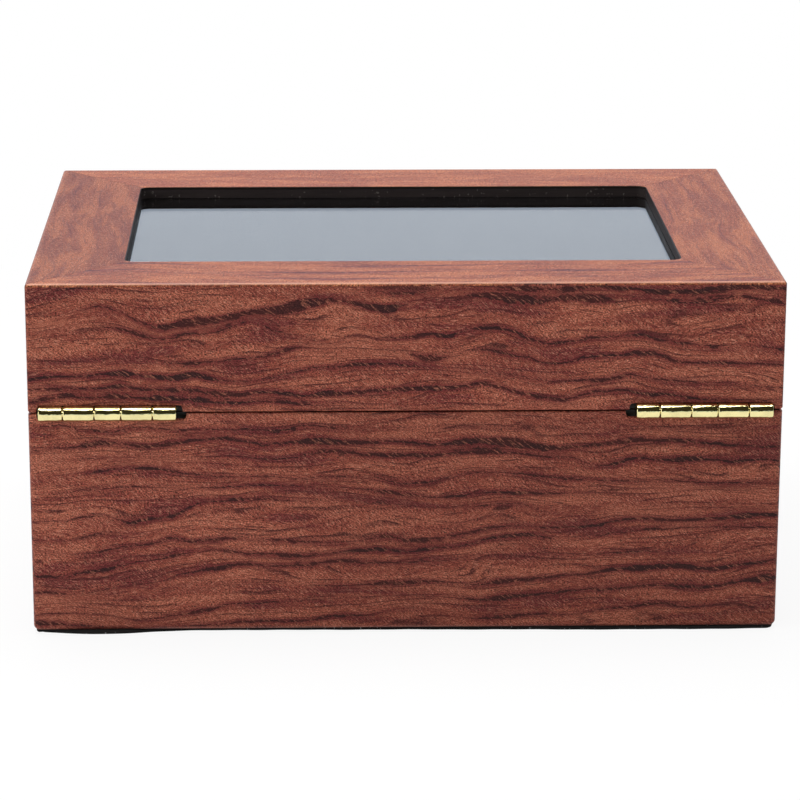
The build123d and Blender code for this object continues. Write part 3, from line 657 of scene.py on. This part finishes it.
def side_veneer(body, side, veins, shift):
    """One upright leaf of veneer: a closed section, eased at the end away from the seam, carried
    along the board and round half of each upright edge. shift is where in the endless pattern of
    the veneer the leaf is cut from, in centimetres."""
    half_long, half_across = case_halves(side)
    ease = EASES[body]
    low, high = GROOVE_ENDS[body]
    steps = GROOVE_ROUND * np.array([0, 0.02, 0.1, 0.25, 0.5, 0.75, 1])
    breaks = np.concatenate([low + steps, high - steps])
    breaks = np.concatenate([breaks, -breaks])
    path = board_path(half_long, half_across, ease, 1.0, breaks if side == "back" else ())
    x, y, angle = path.T[..., None]
    rim = LID_RIM if body == "lid" else BASE_RIM
    outer_z, middle_z, inner_z = rim_cut(path[:, 0] if side == "back" else 0 * path[:, 0], body,
                                         rim)

    # the section, from its eased end to the rim and back: how far out, and how high
    inner = ease - VENEER
    if body == "base":
        bend = np.linspace(np.arccos(inner / ease), 0, 7)
        section = [(ease * cos(b), FOOT + ease - ease * sin(b)) for b in bend]
    else:
        bend = np.linspace(np.arcsin((PANEL_TOP - (TOP - ease)) / ease), 0, 4)
        section = [(ease * cos(b), TOP - ease + ease * sin(b)) for b in bend]
    end_z, start_z = section[0][1], section[-1][1]
    row_height = 1.0
    rows = int(abs(outer_z.mean() - start_z) / row_height)
    for share in np.linspace(0, 1, rows)[1:]:
        section.append((ease, start_z * (1 - share) + outer_z * share))
    section += [(ease - RIM_BEVEL, middle_z), (inner, inner_z), (inner, end_z)]
    out, z = (np.stack([np.broadcast_to(point[k], len(path)) for point in section], 1)
              for k in (0, 1))
    rings = np.stack([x + out * np.sin(angle), y + out * np.cos(angle), z], -1)

    seen_along = -rings[..., 0]
    marks = figure_of(veins, seen_along, z - FOOT, shift)
    marks["paint"] = np.zeros(rings.shape)
    if (body, side) == ("base", "back"):
        # this leaf deepens towards its right, seen from behind
        marks["paint"][..., 1] = np.clip((seen_along + 45) / 35, 0, 1) * 0.45
    piece = loft(f"{body}_{side}_leaf", turned(rings, side), marks)
    finish_piece(tidy(piece), body, "rosewood_veneer", [f"{body}_{side}_veneer"])


def top_veneer(side, seed, shift, calm, deep):
    """One mitred leaf of the lid's top: its section runs from the eased outer edge over the flat
    to the window's edge and down it, carried from mitre to mitre. calm and deep are how plain its
    figure is and how deep its tone."""
    half_long, half_across = case_halves(side)
    window_long, window_across = (WINDOW_X, WINDOW_Y) if half_long == HALF_WIDTH else (
        WINDOW_Y, WINDOW_X)
    ease = EASES["lid"]
    path = board_path(half_long, half_across, ease, 1.5)
    x, y, angle = path.T
    share = x / (half_long - ease)
    normal = np.stack([np.sin(angle), np.cos(angle)], -1)
    corner = np.stack([x, y], -1)
    hole = np.stack([share * (window_long - WINDOW_RADIUS),
                     np.full_like(x, window_across - WINDOW_RADIUS)], -1) + normal * WINDOW_RADIUS
    under = np.arccos((PANEL_TOP - (TOP - ease)) / ease)
    levels = []
    for bend in np.linspace(under, 0, 7):
        levels.append((corner + normal * ease * sin(bend), TOP - ease + ease * cos(bend)))
    for part in np.linspace(0, 1, 26)[1:-1]:
        levels.append((corner * (1 - part) + hole * part, TOP))
    for back, drop in ((0.25, 0.0), (0.07, 0.07), (0.0, 0.25), (0.0, VENEER)):
        levels.append((hole + normal * back, TOP - drop))
    flat = np.stack([level[0] for level in levels], 1)
    height = np.broadcast_to(np.array([level[1] for level in levels]), flat.shape[:2])
    mitre_gap = 0.05
    at_mitre = np.abs(angle) > radians(44)
    flat[:, :, 0] -= (np.sign(x) * mitre_gap * at_mitre)[:, None]
    rings = np.concatenate([flat, height[..., None]], -1)
    veins = wandering_veins(seed, half_long, half_across - 34, half_across + 4, spacing=7.5)
    marks = figure_of(strengthened(veins, 1.3 - calm), -rings[..., 0], rings[..., 1], shift, calm)
    paint = marks["paint"] = np.zeros(rings.shape)
    paint[..., 1] = deep
    # a painted highlight along the eased edge, strongest on the back leaf, and black paint down the
    # edge of the window
    paint[:, 2:7, 2] = np.array([0.1, 0.3, 0.5, 0.45, 0.2]) * (1.0 if side == "back" else 0.3)
    paint[:, -3:, 0] = 1.0
    piece = loft(f"lid_top_{side}_leaf", turned(rings, side), marks)
    finish_piece(tidy(piece), "lid", "rosewood_veneer", [f"lid_top_{side}_veneer"])


side_veneer("lid", "back", strengthened(LID_VEINS, 1.15), 0.0)
side_veneer("base", "back", BASE_VEINS, 31.0)
for number, side in enumerate(("front", "left", "right")):
    half = case_halves(side)[0]
    side_veneer("lid", side, wandering_veins(40 + number, half, 60, 102), 60.0 + 25 * number)
    side_veneer("base", side, wandering_veins(50 + number, half, -4, 66), 140.0 + 25 * number)
for number, (side, calm, deep) in enumerate((
        ("front", 1.0, 0.0), ("back", 0.5, 0.0), ("left", 0.9, 0.4), ("right", 0.8, 0.75))):
    top_veneer(side, 70 + number, 220.0 + 27 * number, calm, deep)


# ================================================================ brass fittings

BARREL_SHEET, PIN_RADIUS, BORE = 1.1, 0.95, 1.0
LEAF_WIDTH, LEAF_GAP, NECK = 9.0, 0.3, 0.8
KNUCKLES = (6.5, 8.3, 7.0, 8.3, 6.3)
KNUCKLE_GAP = 0.25
CLASP_Y, CLASP_Z = -79.0, 65.8
PLATE_HALF, PLATE_LOW, PLATE_HIGH = 6.55, 1.65, 12.0
FLAP_HALF, FLAP_LENGTH, HOLE_DROP = 5.0, 15.5, 9.5


def arc(middle, radius, start, sweep, count):
    """Points round an arc, in degrees, in a section's own plane."""
    angle = np.radians(np.linspace(start, start + sweep, count))
    return np.stack([middle[0] + radius * np.cos(angle), middle[1] + radius * np.sin(angle)], -1)


def sheet_section(path, half):
    """The closed outline of a sheet whose middle follows a path: the path moved to both sides
    along its own normal by half the thickness."""
    slope = np.gradient(path, axis=0)
    slope /= np.linalg.norm(slope, axis=1, keepdims=True)
    normal = np.stack([-slope[:, 1], slope[:, 0]], -1)
    return np.concatenate([path + normal * half, (path - normal * half)[::-1]])


def eased_span(low, high, ease):
    """Places along a span, with how much thinner the sheet is there: a quarter round at each
    end."""
    turn = np.linspace(0, pi / 2, 4)
    near = low + ease - np.sin(turn[::-1]) * ease
    far = high - ease + np.sin(turn) * ease
    thin = ease - np.cos(turn[::-1]) * ease
    return np.concatenate([near, far]), np.concatenate([thin, thin[::-1]])


def join(name, parts):
    """One mesh object from several lists of points and faces."""
    points, faces, base = [], [], 0
    for part_points, part_faces in parts:
        part_points = np.asarray(part_points, float).reshape(-1, 3)
        points.append(part_points)
        faces += [[i + base for i in face] for face in part_faces]
        base += len(part_points)
    return object_from(name, np.concatenate(points), faces)


def bent_sheet(path, half, span, ease, place):
    """A sheet that follows a path in its section, over a span along X, its two ends eased. place
    turns section coordinates and x into points of the case."""
    x, thin = eased_span(*span, ease)
    rings = np.stack([place(sheet_section(path, half - t), at) for at, t in zip(x, thin)])
    return rings, loft_faces(*rings.shape[:2])


def leaf_path():
    """The middle of the base's leaf: flat under the seam, a neck bending down, and the roll."""
    roll = BORE + BARREL_SHEET / 2
    drop = (LEAF_GAP + BARREL_SHEET) / 2
    reach = sqrt((roll + NECK)**2 - (drop + NECK)**2)
    neck = np.degrees(np.arctan2(drop + NECK, reach))
    flat = np.stack([np.linspace(-LEAF_WIDTH, -reach, 6), np.full(6, -drop)], -1)[:-1]
    bend = arc((-reach, -drop - NECK), NECK, 90, neck - 90, 9)[:-1]
    return np.concatenate([flat, bend, arc((0, 0), roll, neck - 180, 172 + 180 - neck, 72)])


def knuckle_spans(turn):
    """Where the even knuckles are along a hinge, which are the base's, or the odd ones."""
    spans, start = [], -HINGE_OUTER
    for number, length in enumerate(KNUCKLES):
        if number % 2 == turn:
            spans.append((start, start + length))
        start += length + KNUCKLE_GAP
    return spans


def slotted_head(middle, radius, facing, slot_angle):
    """A countersunk screw's head as two fields over one disc, rows of constant height y across
    it: the face, a shallow dome with a slot sunk in it, and the cone under it."""
    half_slot, depth = radius * 0.13, radius * 0.28
    inner = np.array([-1.02, -0.98, 0.98, 1.02]) * half_slot
    rows = np.union1d(np.sin(np.linspace(-pi / 2, pi / 2, 25)) * radius, inner)
    across = np.sin(np.linspace(-pi / 2, pi / 2, 21))
    y = np.broadcast_to(rows[:, None], (len(rows), len(across)))
    x = across * np.sqrt(np.maximum(radius**2 - y**2, 0))
    r = np.hypot(x, y) / radius
    face = 0.06 * radius * (1 - r**2) - np.clip((r - 0.93) / 0.07, 0, 1)**2 * 0.05 * radius
    face = face - depth * (np.abs(y) < half_slot) * (r < 0.97)
    cone = -(1 - r) * radius - 0.05 * radius
    grids = [np.stack([x, y, z], -1) for z in (face, cone)]
    turn = radians(slot_angle)
    spin = np.array([[cos(turn), sin(turn), 0], [-sin(turn), cos(turn), 0], [0, 0, 1]])
    return [((grid.reshape(-1, 3) @ spin) @ np.array(facing, float).T + middle,
             grid_faces(*grid.shape[:2])) for grid in grids]


UP = ((1, 0, 0), (0, 1, 0), (0, 0, 1))
DOWN = ((1, 0, 0), (0, -1, 0), (0, 0, -1))
FORWARD = ((1, 0, 0), (0, 0, -1), (0, 1, 0))


def straight_pin(name, x, radii, y, z, sides):
    """A pin along X: a radius for each place, spun round."""
    turn = np.linspace(0, 2 * pi, sides + 1)[:-1]
    radii = np.reshape(radii, (-1, 1))
    rings = np.stack([np.broadcast_to(np.reshape(x, (-1, 1)), (len(radii), sides)),
                      y + radii * np.cos(turn), z + radii * np.sin(turn)], -1)
    return tidy(loft(name, rings), 40)


def hinge(hand):
    """A five-knuckle butt hinge: two leaves of one sheet that is rolled round the pin by turns."""
    side = 1 if hand == "left" else -1
    path = leaf_path()
    half = BARREL_SHEET / 2
    for number, name in enumerate(("base", "lid")):
        way = -1 if name == "lid" else 1

        def place(section, x, way=way):
            return np.stack([np.full(len(section), x * side), HINGE_Y + section[:, 0],
                             SEAM + way * section[:, 1]], -1)

        spans = knuckle_spans(number)
        parts = [bent_sheet(path, half, span, 0.28, place) for span in spans]
        edges = [-HINGE_OUTER] + [e for span in spans for e in span] + [-HINGE_INNER]
        flat = np.stack([np.linspace(-LEAF_WIDTH, -GROOVE_RADIUS, 3),
                         np.full(3, -(LEAF_GAP + BARREL_SHEET) / 2)], -1)
        for low, high in zip(edges[::2], edges[1::2]):
            if high - low > 1:
                parts.append(bent_sheet(flat, half, (low, high), 0.02, place))
        leaf = tidy(join(f"hinge_{hand}_{name}_rolled_leaf", parts), 30)
        finish_piece(leaf, name, "brass", [f"hinge_{hand}_{name}_leaf"])
        heads = []
        for screw, step in enumerate((-1, 1)):
            x = (-(HINGE_OUTER + HINGE_INNER) / 2 + step * 10.5) * side
            y = HINGE_Y - (LEAF_WIDTH + GROOVE_RADIUS) / 2
            middle = np.array([x, y, SEAM - way * LEAF_GAP / 2])
            heads += slotted_head(middle, 1.9, UP if way == 1 else DOWN, 25 + 70 * screw)
        screws = tidy(join(f"hinge_{hand}_{name}_slotted_screws", heads), 40)
        finish_piece(screws, name, "brass", [f"hinge_{hand}_{name}_screws"])
    x = np.array([-HINGE_OUTER, -HINGE_OUTER + 0.1, -HINGE_INNER - 0.1, -HINGE_INNER]) * side
    pin = straight_pin(f"hinge_{hand}_turned_pin", x,
                       np.array([0.8, 1.0, 1.0, 0.8]) * PIN_RADIUS, HINGE_Y, SEAM, 32)
    finish_piece(pin, "base", "brass", [f"hinge_{hand}_pin"])


def inset(outline, by):
    """A closed outline moved inwards along its own normal, all round by one amount or by one for
    each point."""
    slope = np.roll(outline, -1, 0) - np.roll(outline, 1, 0)
    slope /= np.linalg.norm(slope, axis=1, keepdims=True)
    return outline + np.stack([-slope[:, 1], slope[:, 0]], -1) * np.reshape(by, (-1, 1))


def rounded_outline(half_x, low, high, low_radius, high_radius, count=9):
    """An anticlockwise outline, its two lower and its two upper corners rounded."""
    return np.concatenate([
        arc((half_x - low_radius, low + low_radius), low_radius, -90, 90, count),
        arc((half_x - high_radius, high - high_radius), high_radius, 0, 90, count),
        arc((-half_x + high_radius, high - high_radius), high_radius, 90, 90, count),
        arc((-half_x + low_radius, low + low_radius), low_radius, 180, 90, count)])


def clasp_place(section, x):
    """A section's points, out of the front and up from the clasp's pin, as points of the case."""
    return np.stack([np.broadcast_to(x, len(section)), CLASP_Y - section[:, 0],
                     CLASP_Z + section[:, 1]], -1)


def clasp_plate():
    """The clasp's plate on the lid, with two knuckles and two screws."""
    roll, half, knuckle = 1.05, 0.45, 3.4
    face = -HALF_DEPTH - 2 * half
    outline = rounded_outline(PLATE_HALF, PLATE_LOW, PLATE_HIGH, 0.3, 2.0)
    rings = []
    for by, y in ((0.18, face), (0.0, face + 0.18), (0.0, -HALF_DEPTH)):
        flat = inset(outline, by)
        rings.append(np.stack([flat[:, 0], np.full(len(flat), y), CLASP_Z + flat[:, 1]], -1))
    rings = np.stack(rings)
    parts = [(rings, loft_faces(*rings.shape[:2]))]
    path = np.concatenate([np.stack([np.full(4, -roll), np.linspace(2.2, 0.1, 4)], -1),
                           arc((0, 0), roll, 180, 280, 60)])
    for low in (-PLATE_HALF, PLATE_HALF - knuckle):
        parts.append(bent_sheet(path, half, (low, low + knuckle), 0.12, clasp_place))
    plate = tidy(join("clasp_rolled_plate", parts), 30)
    finish_piece(plate, "lid", "brass", ["clasp_lid_plate"])
    heads = []
    for number, x in enumerate((-4.0, 4.0)):
        middle = np.array([x, face, CLASP_Z + (1.5 + PLATE_HIGH) / 2])
        heads += slotted_head(middle, 1.3, FORWARD, 20 + 50 * number)
    screws = tidy(join("clasp_slotted_screws", heads), 40)
    finish_piece(screws, "lid", "brass", ["clasp_lid_screws"])


def clasp_flap():
    """The flap: a sheet with a lip curled outwards and a hole for the stud, its knuckle rolled
    round the pin. Its face and its back are rings from the hole to the border. It is made hanging
    straight down, and then swung out to where it rests."""
    half, roll, knuckle = 0.375, 0.975, 6.0
    lip_radius, lip_sweep = 2.2, radians(50)
    lip_start = FLAP_LENGTH - lip_radius * sin(lip_sweep)
    swung_out = radians(12)
    hole = arc((0, -HOLE_DROP), 2.4, -90, 360, 97)[:-1]

    # the border, with each of its points straight out from one of the hole's
    border = rounded_outline(FLAP_HALF, -FLAP_LENGTH, -PLATE_LOW, 4.85, 1.1, count=20)
    angle = np.arctan2(border[:, 1] + HOLE_DROP, border[:, 0])
    order = np.argsort((angle + pi / 2) % (2 * pi))
    turn = (np.arctan2(hole[:, 1] + HOLE_DROP, hole[:, 0]) + pi / 2) % (2 * pi)
    sorted_turn = ((angle + pi / 2) % (2 * pi))[order]
    border = np.stack([np.interp(turn, sorted_turn, border[order, k], period=2 * pi)
                       for k in (0, 1)], -1)

    shares = np.concatenate([[0, 0.06], np.linspace(0.15, 0.9, 7), [0.97, 1.0]])
    ease = np.concatenate([[0.12, 0.0], np.zeros(7), [0.0, 0.12]])
    rings = []
    for face in (1, -1):
        layer = []
        for share, thin in zip(shares, ease):
            flat = hole * (1 - share) + border * share
            down = -flat[:, 1]
            past = np.clip((down - lip_start) / lip_radius, 0, lip_sweep)
            out = roll + lip_radius * (1 - np.cos(past))
            z = -np.minimum(down, lip_start) - lip_radius * np.sin(past)
            off = face * (half - thin)
            section = np.stack([out + off * np.cos(past), z + off * np.sin(past)], -1)
            layer.append(clasp_place(section, flat[:, 0]))
        rings += layer if face == 1 else layer[::-1]
    rings = np.stack(rings)
    parts = [(rings, loft_faces(*rings.shape[:2], closed=True))]
    path = np.concatenate([arc((0, 0), roll, 280, -280, 60),
                           np.stack([np.full(4, roll), np.linspace(-0.1, -1.9, 4)], -1)])
    parts.append(bent_sheet(path, half, (-knuckle / 2, knuckle / 2), 0.12, clasp_place))
    flap = join("clasp_rolled_flap", parts)
    to_pin = Matrix.Translation((0, CLASP_Y * MM, CLASP_Z * MM))
    flap.data.transform(to_pin @ Matrix.Rotation(-swung_out, 4, "X") @ to_pin.inverted())
    finish_piece(tidy(flap, 30), "flap", "brass", ["clasp_flap"])


def clasp_stud():
    """The turned stud on the base that the flap closes over: a profile of distances out of the
    front and radii, spun round."""
    profile = ((0, 3.5), (0.55, 3.5), (0.8, 3.35), (0.9, 3.1), (0.95, 2.2), (1.15, 1.7),
               (1.5, 1.42), (2.3, 1.4), (2.6, 1.5), (2.75, 1.72), (2.95, 1.8), (3.2, 1.74),
               (3.6, 1.5), (3.9, 1.1), (4.05, 0.6), (4.1, 0.05))
    out, r = np.array(profile, float).T[..., None]
    turn = np.linspace(0, 2 * pi, 49)[:-1]
    rings = np.stack([r * np.cos(turn), np.broadcast_to(-HALF_DEPTH - out, (len(out), len(turn))),
                      CLASP_Z - HOLE_DROP + r * np.sin(turn)], -1)
    stud = tidy(loft("clasp_turned_stud", rings), 35)
    finish_piece(stud, "base", "brass", ["clasp_stud"])


def clasp_pin():
    """The pin that the flap swings on."""
    x = np.array([-PLATE_HALF, -PLATE_HALF + 0.1, PLATE_HALF - 0.1, PLATE_HALF])
    pin = straight_pin("clasp_turned_pin", x, (0.4, 0.55, 0.55, 0.4), CLASP_Y, CLASP_Z, 48)
    finish_piece(pin, "lid", "brass", ["clasp_pin"])


hinge("left")
hinge("right")
clasp_plate()
clasp_flap()
clasp_stud()
clasp_pin()


# ================================================================ the inside

INNER_X, INNER_Y = 92.0, 66.5
LINED_X, LINED_Y = 90.0, 64.5
FLOOR_TOP, LINING_TOP, LINER_TOP = 6.0, 6.8, 68.9
DIVIDER, DIVIDER_TOP, CUSHION_TOP = 3.0, 56.8, 48.3
RETAINER_LOW, RETAINER_HIGH, WALL_LINING_LOW = 91.5, 94.0, 69.9
CELL_X = (2 * LINED_X - 2 * DIVIDER) / 3
CELL_Y = (2 * LINED_Y - DIVIDER) / 2
# how far the felt's edge stands out at the back: along, seen from behind, and by how much
FELT_EDGE = ((-103, -1.2), (-98, -.3), (-94, .5), (-89, .9), (-83, 1.1), (-76, .5), (-69, -.4),
             (-62, -1.1), (-56, -1.4), (-36, -1.1), (-16, -.9), (4, -.6), (24, -.3), (44, .1),
             (97, .2), (103, .1))


def board(name, low, high, radius, node):
    """A board wrapped in velvet, its edges softened by the cloth."""
    piece = tidy(soft_box(name, low, high, radius, step=6.0), 60)
    finish_piece(piece, "base", "velvet", [node])


def velvet_frame(name, node, outer, hole, corner, section):
    """A velvet-covered frame of the lid: a closed section, given as the share of the way from
    the outer rectangle to the rounded hole and the height, carried round."""
    border = rounded_outline(outer[0], -outer[1], outer[1], 0.4, 0.4)
    opening = rounded_outline(hole[0], -hole[1], hole[1], corner, corner)
    rings = np.stack([np.concatenate([border * (1 - share) + opening * share,
                                      np.full((len(border), 1), height)], 1)
                      for share, height in section])
    piece = loft(name, rings, closed=True)
    finish_piece(tidy(piece, 50), "lid", "velvet", [node])


def felt_sheet():
    """The felt that the box stands on: a rounded rectangle cut by hand, its edge wandering by a
    sum of sines, and at the back also by the amounts of the table."""
    outline = rounded_outline(102.5, -76.9, 76.9, 2.6, 2.6)
    outline = np.concatenate([outline, outline[:1]])
    walked = np.concatenate([[0], np.cumsum(np.linalg.norm(np.diff(outline, axis=0), axis=1))])
    at = np.linspace(0, walked[-1], 721)[:-1]
    outline = np.stack([np.interp(at, walked, outline[:, k]) for k in (0, 1)], -1)
    wander = 0.1 * np.sin(at / 5.3) + 0.08 * np.sin(at / 1.9 + 1) + 0.1 * np.sin(at / 23)
    x, y = outline.T
    stands_out = smooth_through(FELT_EDGE, -x)[:, 0] * (y > 76)
    rings = []
    for ease, height in ((0.3, 0.0), (0.06, 0.14), (0.0, 0.5), (0.05, 0.86), (0.3, FOOT)):
        flat = inset(outline, ease - wander - stands_out)
        rings.append(np.concatenate([flat, np.full((len(flat), 1), height)], 1))
    piece = loft("felt_cut_sheet", np.stack(rings))
    finish_piece(tidy(piece, 60), "base", "felt", ["felt_underside"])


def inside():
    """The liner boards, the dividers, the floor's lining, the lid's retainer and lining, and the
    felt."""
    for name, sign in (("front", -1), ("back", 1)):
        y = sorted((sign * INNER_Y, sign * LINED_Y))
        board(f"wrapped_liner_{name}", (-INNER_X, y[0], FLOOR_TOP), (INNER_X, y[1], LINER_TOP),
              0.8, f"liner_{name}")
    for name, sign in (("left", -1), ("right", 1)):
        x = sorted((sign * INNER_X, sign * LINED_X))
        board(f"wrapped_liner_{name}", (x[0], -LINED_Y, FLOOR_TOP), (x[1], LINED_Y, LINER_TOP),
              0.8, f"liner_{name}")
        middle = sign * (CELL_X + DIVIDER) / 2
        board(f"wrapped_divider_short_{name}", (middle - DIVIDER / 2, -LINED_Y, LINING_TOP),
              (middle + DIVIDER / 2, LINED_Y, DIVIDER_TOP), 1.4, f"divider_short_{name}")
    board("wrapped_divider_long", (-LINED_X, -DIVIDER / 2, LINING_TOP),
          (LINED_X, DIVIDER / 2, DIVIDER_TOP), 1.4, "divider_long")
    board("velvet_floor_sheet", (-LINED_X, -LINED_Y, FLOOR_TOP), (LINED_X, LINED_Y, LINING_TOP),
          0.3, "floor_lining")
    velvet_frame("wrapped_glass_retainer", "glass_retainer", (92.2, 66.7), (WINDOW_X, WINDOW_Y),
                 WINDOW_RADIUS, ((0.0, RETAINER_LOW + 0.5), (0.0, RETAINER_HIGH),
                                 (1.0, RETAINER_HIGH), (1.0, RETAINER_LOW + 0.7),
                                 (0.99, RETAINER_LOW + 0.3), (0.96, RETAINER_LOW + 0.05),
                                 (0.9, RETAINER_LOW), (0.02, RETAINER_LOW)))
    velvet_frame("velvet_wall_sheet", "lid_wall_lining", (92.5, 67.0), (91.7, 66.2), 0.8,
                 ((0.0, WALL_LINING_LOW), (0.0, RETAINER_LOW), (1.0, RETAINER_LOW),
                  (1.0, WALL_LINING_LOW + 0.3), (0.9, WALL_LINING_LOW + 0.1),
                  (0.7, WALL_LINING_LOW)))
    felt_sheet()


def evaluated_mesh(thing):
    """The mesh that an object's modifiers give. The object itself is removed."""
    mesh = bpy.data.meshes.new_from_object(thing.evaluated_get(
        bpy.context.evaluated_depsgraph_get()))
    bpy.data.objects.remove(thing)
    return mesh


def padded_cushion():
    """One cushion at the origin, blown up as cloth from a slightly smaller block, no point
    moving further than the cap, and a shallow dish pressed in its top for a watch."""
    room, slack, cap = 0.6, 1.6, 4.5
    dish_depth, dish_radius = 3.4, 17.0
    half = np.array([CELL_X / 2 - room, CELL_Y / 2 - room])
    height = CUSHION_TOP - LINING_TOP
    block = soft_box("cushion_block", (*(slack - half), 0.4), (*(half - slack), height - 0.5),
                     radius=7.0, step=3.0)
    tidy(block, 180)
    remesh = block.modifiers.new("even", "REMESH")
    remesh.mode, remesh.voxel_size = "VOXEL", 0.0024
    flat = evaluated_mesh(block)
    piece = add_object("cushion_shape", flat)
    before = np.empty(len(flat.vertices) * 3)
    flat.vertices.foreach_get("co", before)
    after = before.copy()
    cloth = piece.modifiers.new("cloth", "CLOTH")
    cloth.settings.use_pressure = True
    cloth.settings.uniform_pressure_force = 4.0
    cloth.settings.effector_weights.gravity = 0.0
    cloth.settings.quality = 6
    for number in range(1, 21):
        bpy.context.scene.frame_set(number)
    blown = piece.evaluated_get(bpy.context.evaluated_depsgraph_get()).to_mesh()
    blown.vertices.foreach_get("co", after)
    bpy.context.scene.frame_set(1)
    piece.modifiers.clear()
    start, end = before.reshape(-1, 3), after.reshape(-1, 3)
    move = end - start
    length = np.linalg.norm(move, axis=1, keepdims=True)
    end = start + move * np.minimum(1, cap * MM / np.maximum(length, 1e-9))
    r = np.hypot(end[:, 0], end[:, 1]) / MM
    top = np.clip((end[:, 2] / MM - height * 0.6) / (height * 0.4), 0, 1)
    end[:, 2] -= MM * top * dish_depth * np.exp(-(r / dish_radius)**4)
    end = np.clip(end, (*(-half * MM), 0), (*(half * MM), (height - 0.2) * MM))
    flat.vertices.foreach_set("co", end.ravel())
    finer = piece.modifiers.new("finer", "SUBSURF")
    finer.levels = finer.render_levels = 1
    return evaluated_mesh(piece)


def cushions():
    """Six cushions, the same shape turned and mirrored from place to place, each with its own
    small creases: three crossed waves that fade towards the foot."""
    shape = padded_cushion()
    count = len(shape.vertices)
    draw = np.random.default_rng(7)
    for column, x in (("left", -1), ("middle", 0), ("right", 1)):
        for row, y in (("front", -1), ("back", 1)):
            mesh = shape.copy()
            points = np.empty(count * 3)
            mesh.vertices.foreach_get("co", points)
            points = points.reshape(-1, 3)
            points[:, 0] *= 1 if x < 1 else -1
            points[:, 1] *= y
            waves = sum(np.sin(points @ draw.normal(0, 260, 3) + draw.uniform(0, 6.3))
                        for _ in range(3))
            points[:, 2] += 0.00022 * waves * np.clip(points[:, 2] / 0.03, 0, 1)
            points += MM * np.array([x * (CELL_X + DIVIDER), y * (CELL_Y + DIVIDER) / 2,
                                     LINING_TOP])
            mesh.vertices.foreach_set("co", points.ravel())
            piece = tidy(add_object(f"velvet_cushion_{row}_{column}", mesh), 180)
            finish_piece(piece, "base", "velvet", [f"watch_cushion_{row}_{column}"])


inside()
cushions()


# ================================================================ floor, light and camera


def rays(finish, *kinds):
    """1 for a ray of any of the kinds, such as Camera or Glossy, and 0 for others."""
    path = finish.add("ShaderNodeLightPath").socket.node
    masks = [Value(finish, path.outputs[f"Is {kind} Ray"]) for kind in kinds]
    return sum(masks[1:], masks[0]).limit()


def backdrop():
    """A white floor. What looks at it directly or in a mirror sees it near white, with some of
    the shadow left round the box, and what it lights gets a plain pale bounce."""
    ground = Finish("pale_floor")
    seen = rays(ground, "Camera", "Glossy", "Transmission")
    diffuse = ground.add("ShaderNodeBsdfDiffuse", None, {"Color": (0.8, 0.8, 0.8, 1.0)})
    glow = ground.add("ShaderNodeEmission", None, {"Color": (1, 1, 1, 1), "Strength": 1.0})
    away = ground.add("ShaderNodeVectorMath", {"operation": "LENGTH"}, {0: ground.position()},
                      "Value")
    ground.add_output(ground.add("ShaderNodeMixShader", None, {
        0: seen * ground.ramp(away, 0.13, 0.4, 0.9, 1.0), 1: diffuse, 2: glow}))
    corners = np.array([(-1, -1, 0), (1, -1, 0), (1, 1, 0), (-1, 1, 0)])
    floor = object_from("floor", corners * 3000.0, [(0, 1, 2, 3)])
    floor.data.materials.append(ground.material)


def world_light():
    """A white studio. A mirror sees it a little blue, and dark on the side of the hinges above
    the horizon, where the room is unlit."""
    world = bpy.data.worlds.new("studio")
    bpy.context.scene.world = world
    world.use_nodes = True
    sky = Finish("studio", world.node_tree)
    _, towards_back, upward = sky.parts(sky.add("ShaderNodeTexCoord", None, None, "Generated"))
    room = sky.ramp(towards_back, -0.45, 0.1) * sky.ramp(upward, 0.04, 0.16)
    mirrored = sky.mix(room, (0.725, 0.835, 1.0), (0.03, 0.028, 0.015))
    tone = sky.mix(rays(sky, "Glossy"), (0.22, 0.22, 0.22), mirrored)
    tone = sky.mix(rays(sky, "Camera", "Transmission"), tone, (1.0, 1.0, 1.0))
    sky.add_output(sky.add("ShaderNodeBackground", None, {"Color": tone, "Strength": 1.0}))


def softbox(name, place, size, power):
    """An area light that looks at the middle of the box."""
    data = bpy.data.lights.new(name, "AREA")
    data.shape, data.size, data.size_y, data.energy = "RECTANGLE", size[0], size[1], power
    lamp = add_object(name, data)
    lamp.location = place
    lamp.rotation_euler = (Vector((0, 0, 0.05)) - Vector(place)).to_track_quat("-Z", "Y").to_euler()


def camera():
    """The camera: behind the case and a little above, with a long lens."""
    yaw, pitch, roll = 0.03095, 0.26939, 0.00336
    place = (0.0285, 0.9392, 0.30475)
    focal_pixels, image_pixels = 3284.6, 800
    ahead = Vector((-sin(yaw) * cos(pitch), -cos(yaw) * cos(pitch), -sin(pitch)))
    right = Vector((-cos(yaw), sin(yaw), 0))
    up = right.cross(ahead)
    x_axis = right * cos(roll) + up * sin(roll)
    y_axis = up * cos(roll) - right * sin(roll)
    data = bpy.data.cameras.new("camera")
    data.sensor_fit, data.sensor_width = "HORIZONTAL", 36.0
    data.lens = focal_pixels / image_pixels * data.sensor_width
    data.clip_start, data.clip_end = 0.05, 20
    view = add_object("camera", data)
    view.matrix_world = Matrix.Translation(place) @ Matrix(
        (x_axis, y_axis, -ahead)).transposed().to_4x4()
    bpy.context.scene.camera = view


backdrop()
world_light()
softbox("top_light", (0.1, -0.1, 1.1), (1.0, 1.0), 18.0)
softbox("left_light", (1.1, 0.7, 0.5), (0.6, 0.8), 3.5)
camera()
bpy.context.scene.view_settings.view_transform = "Standard"
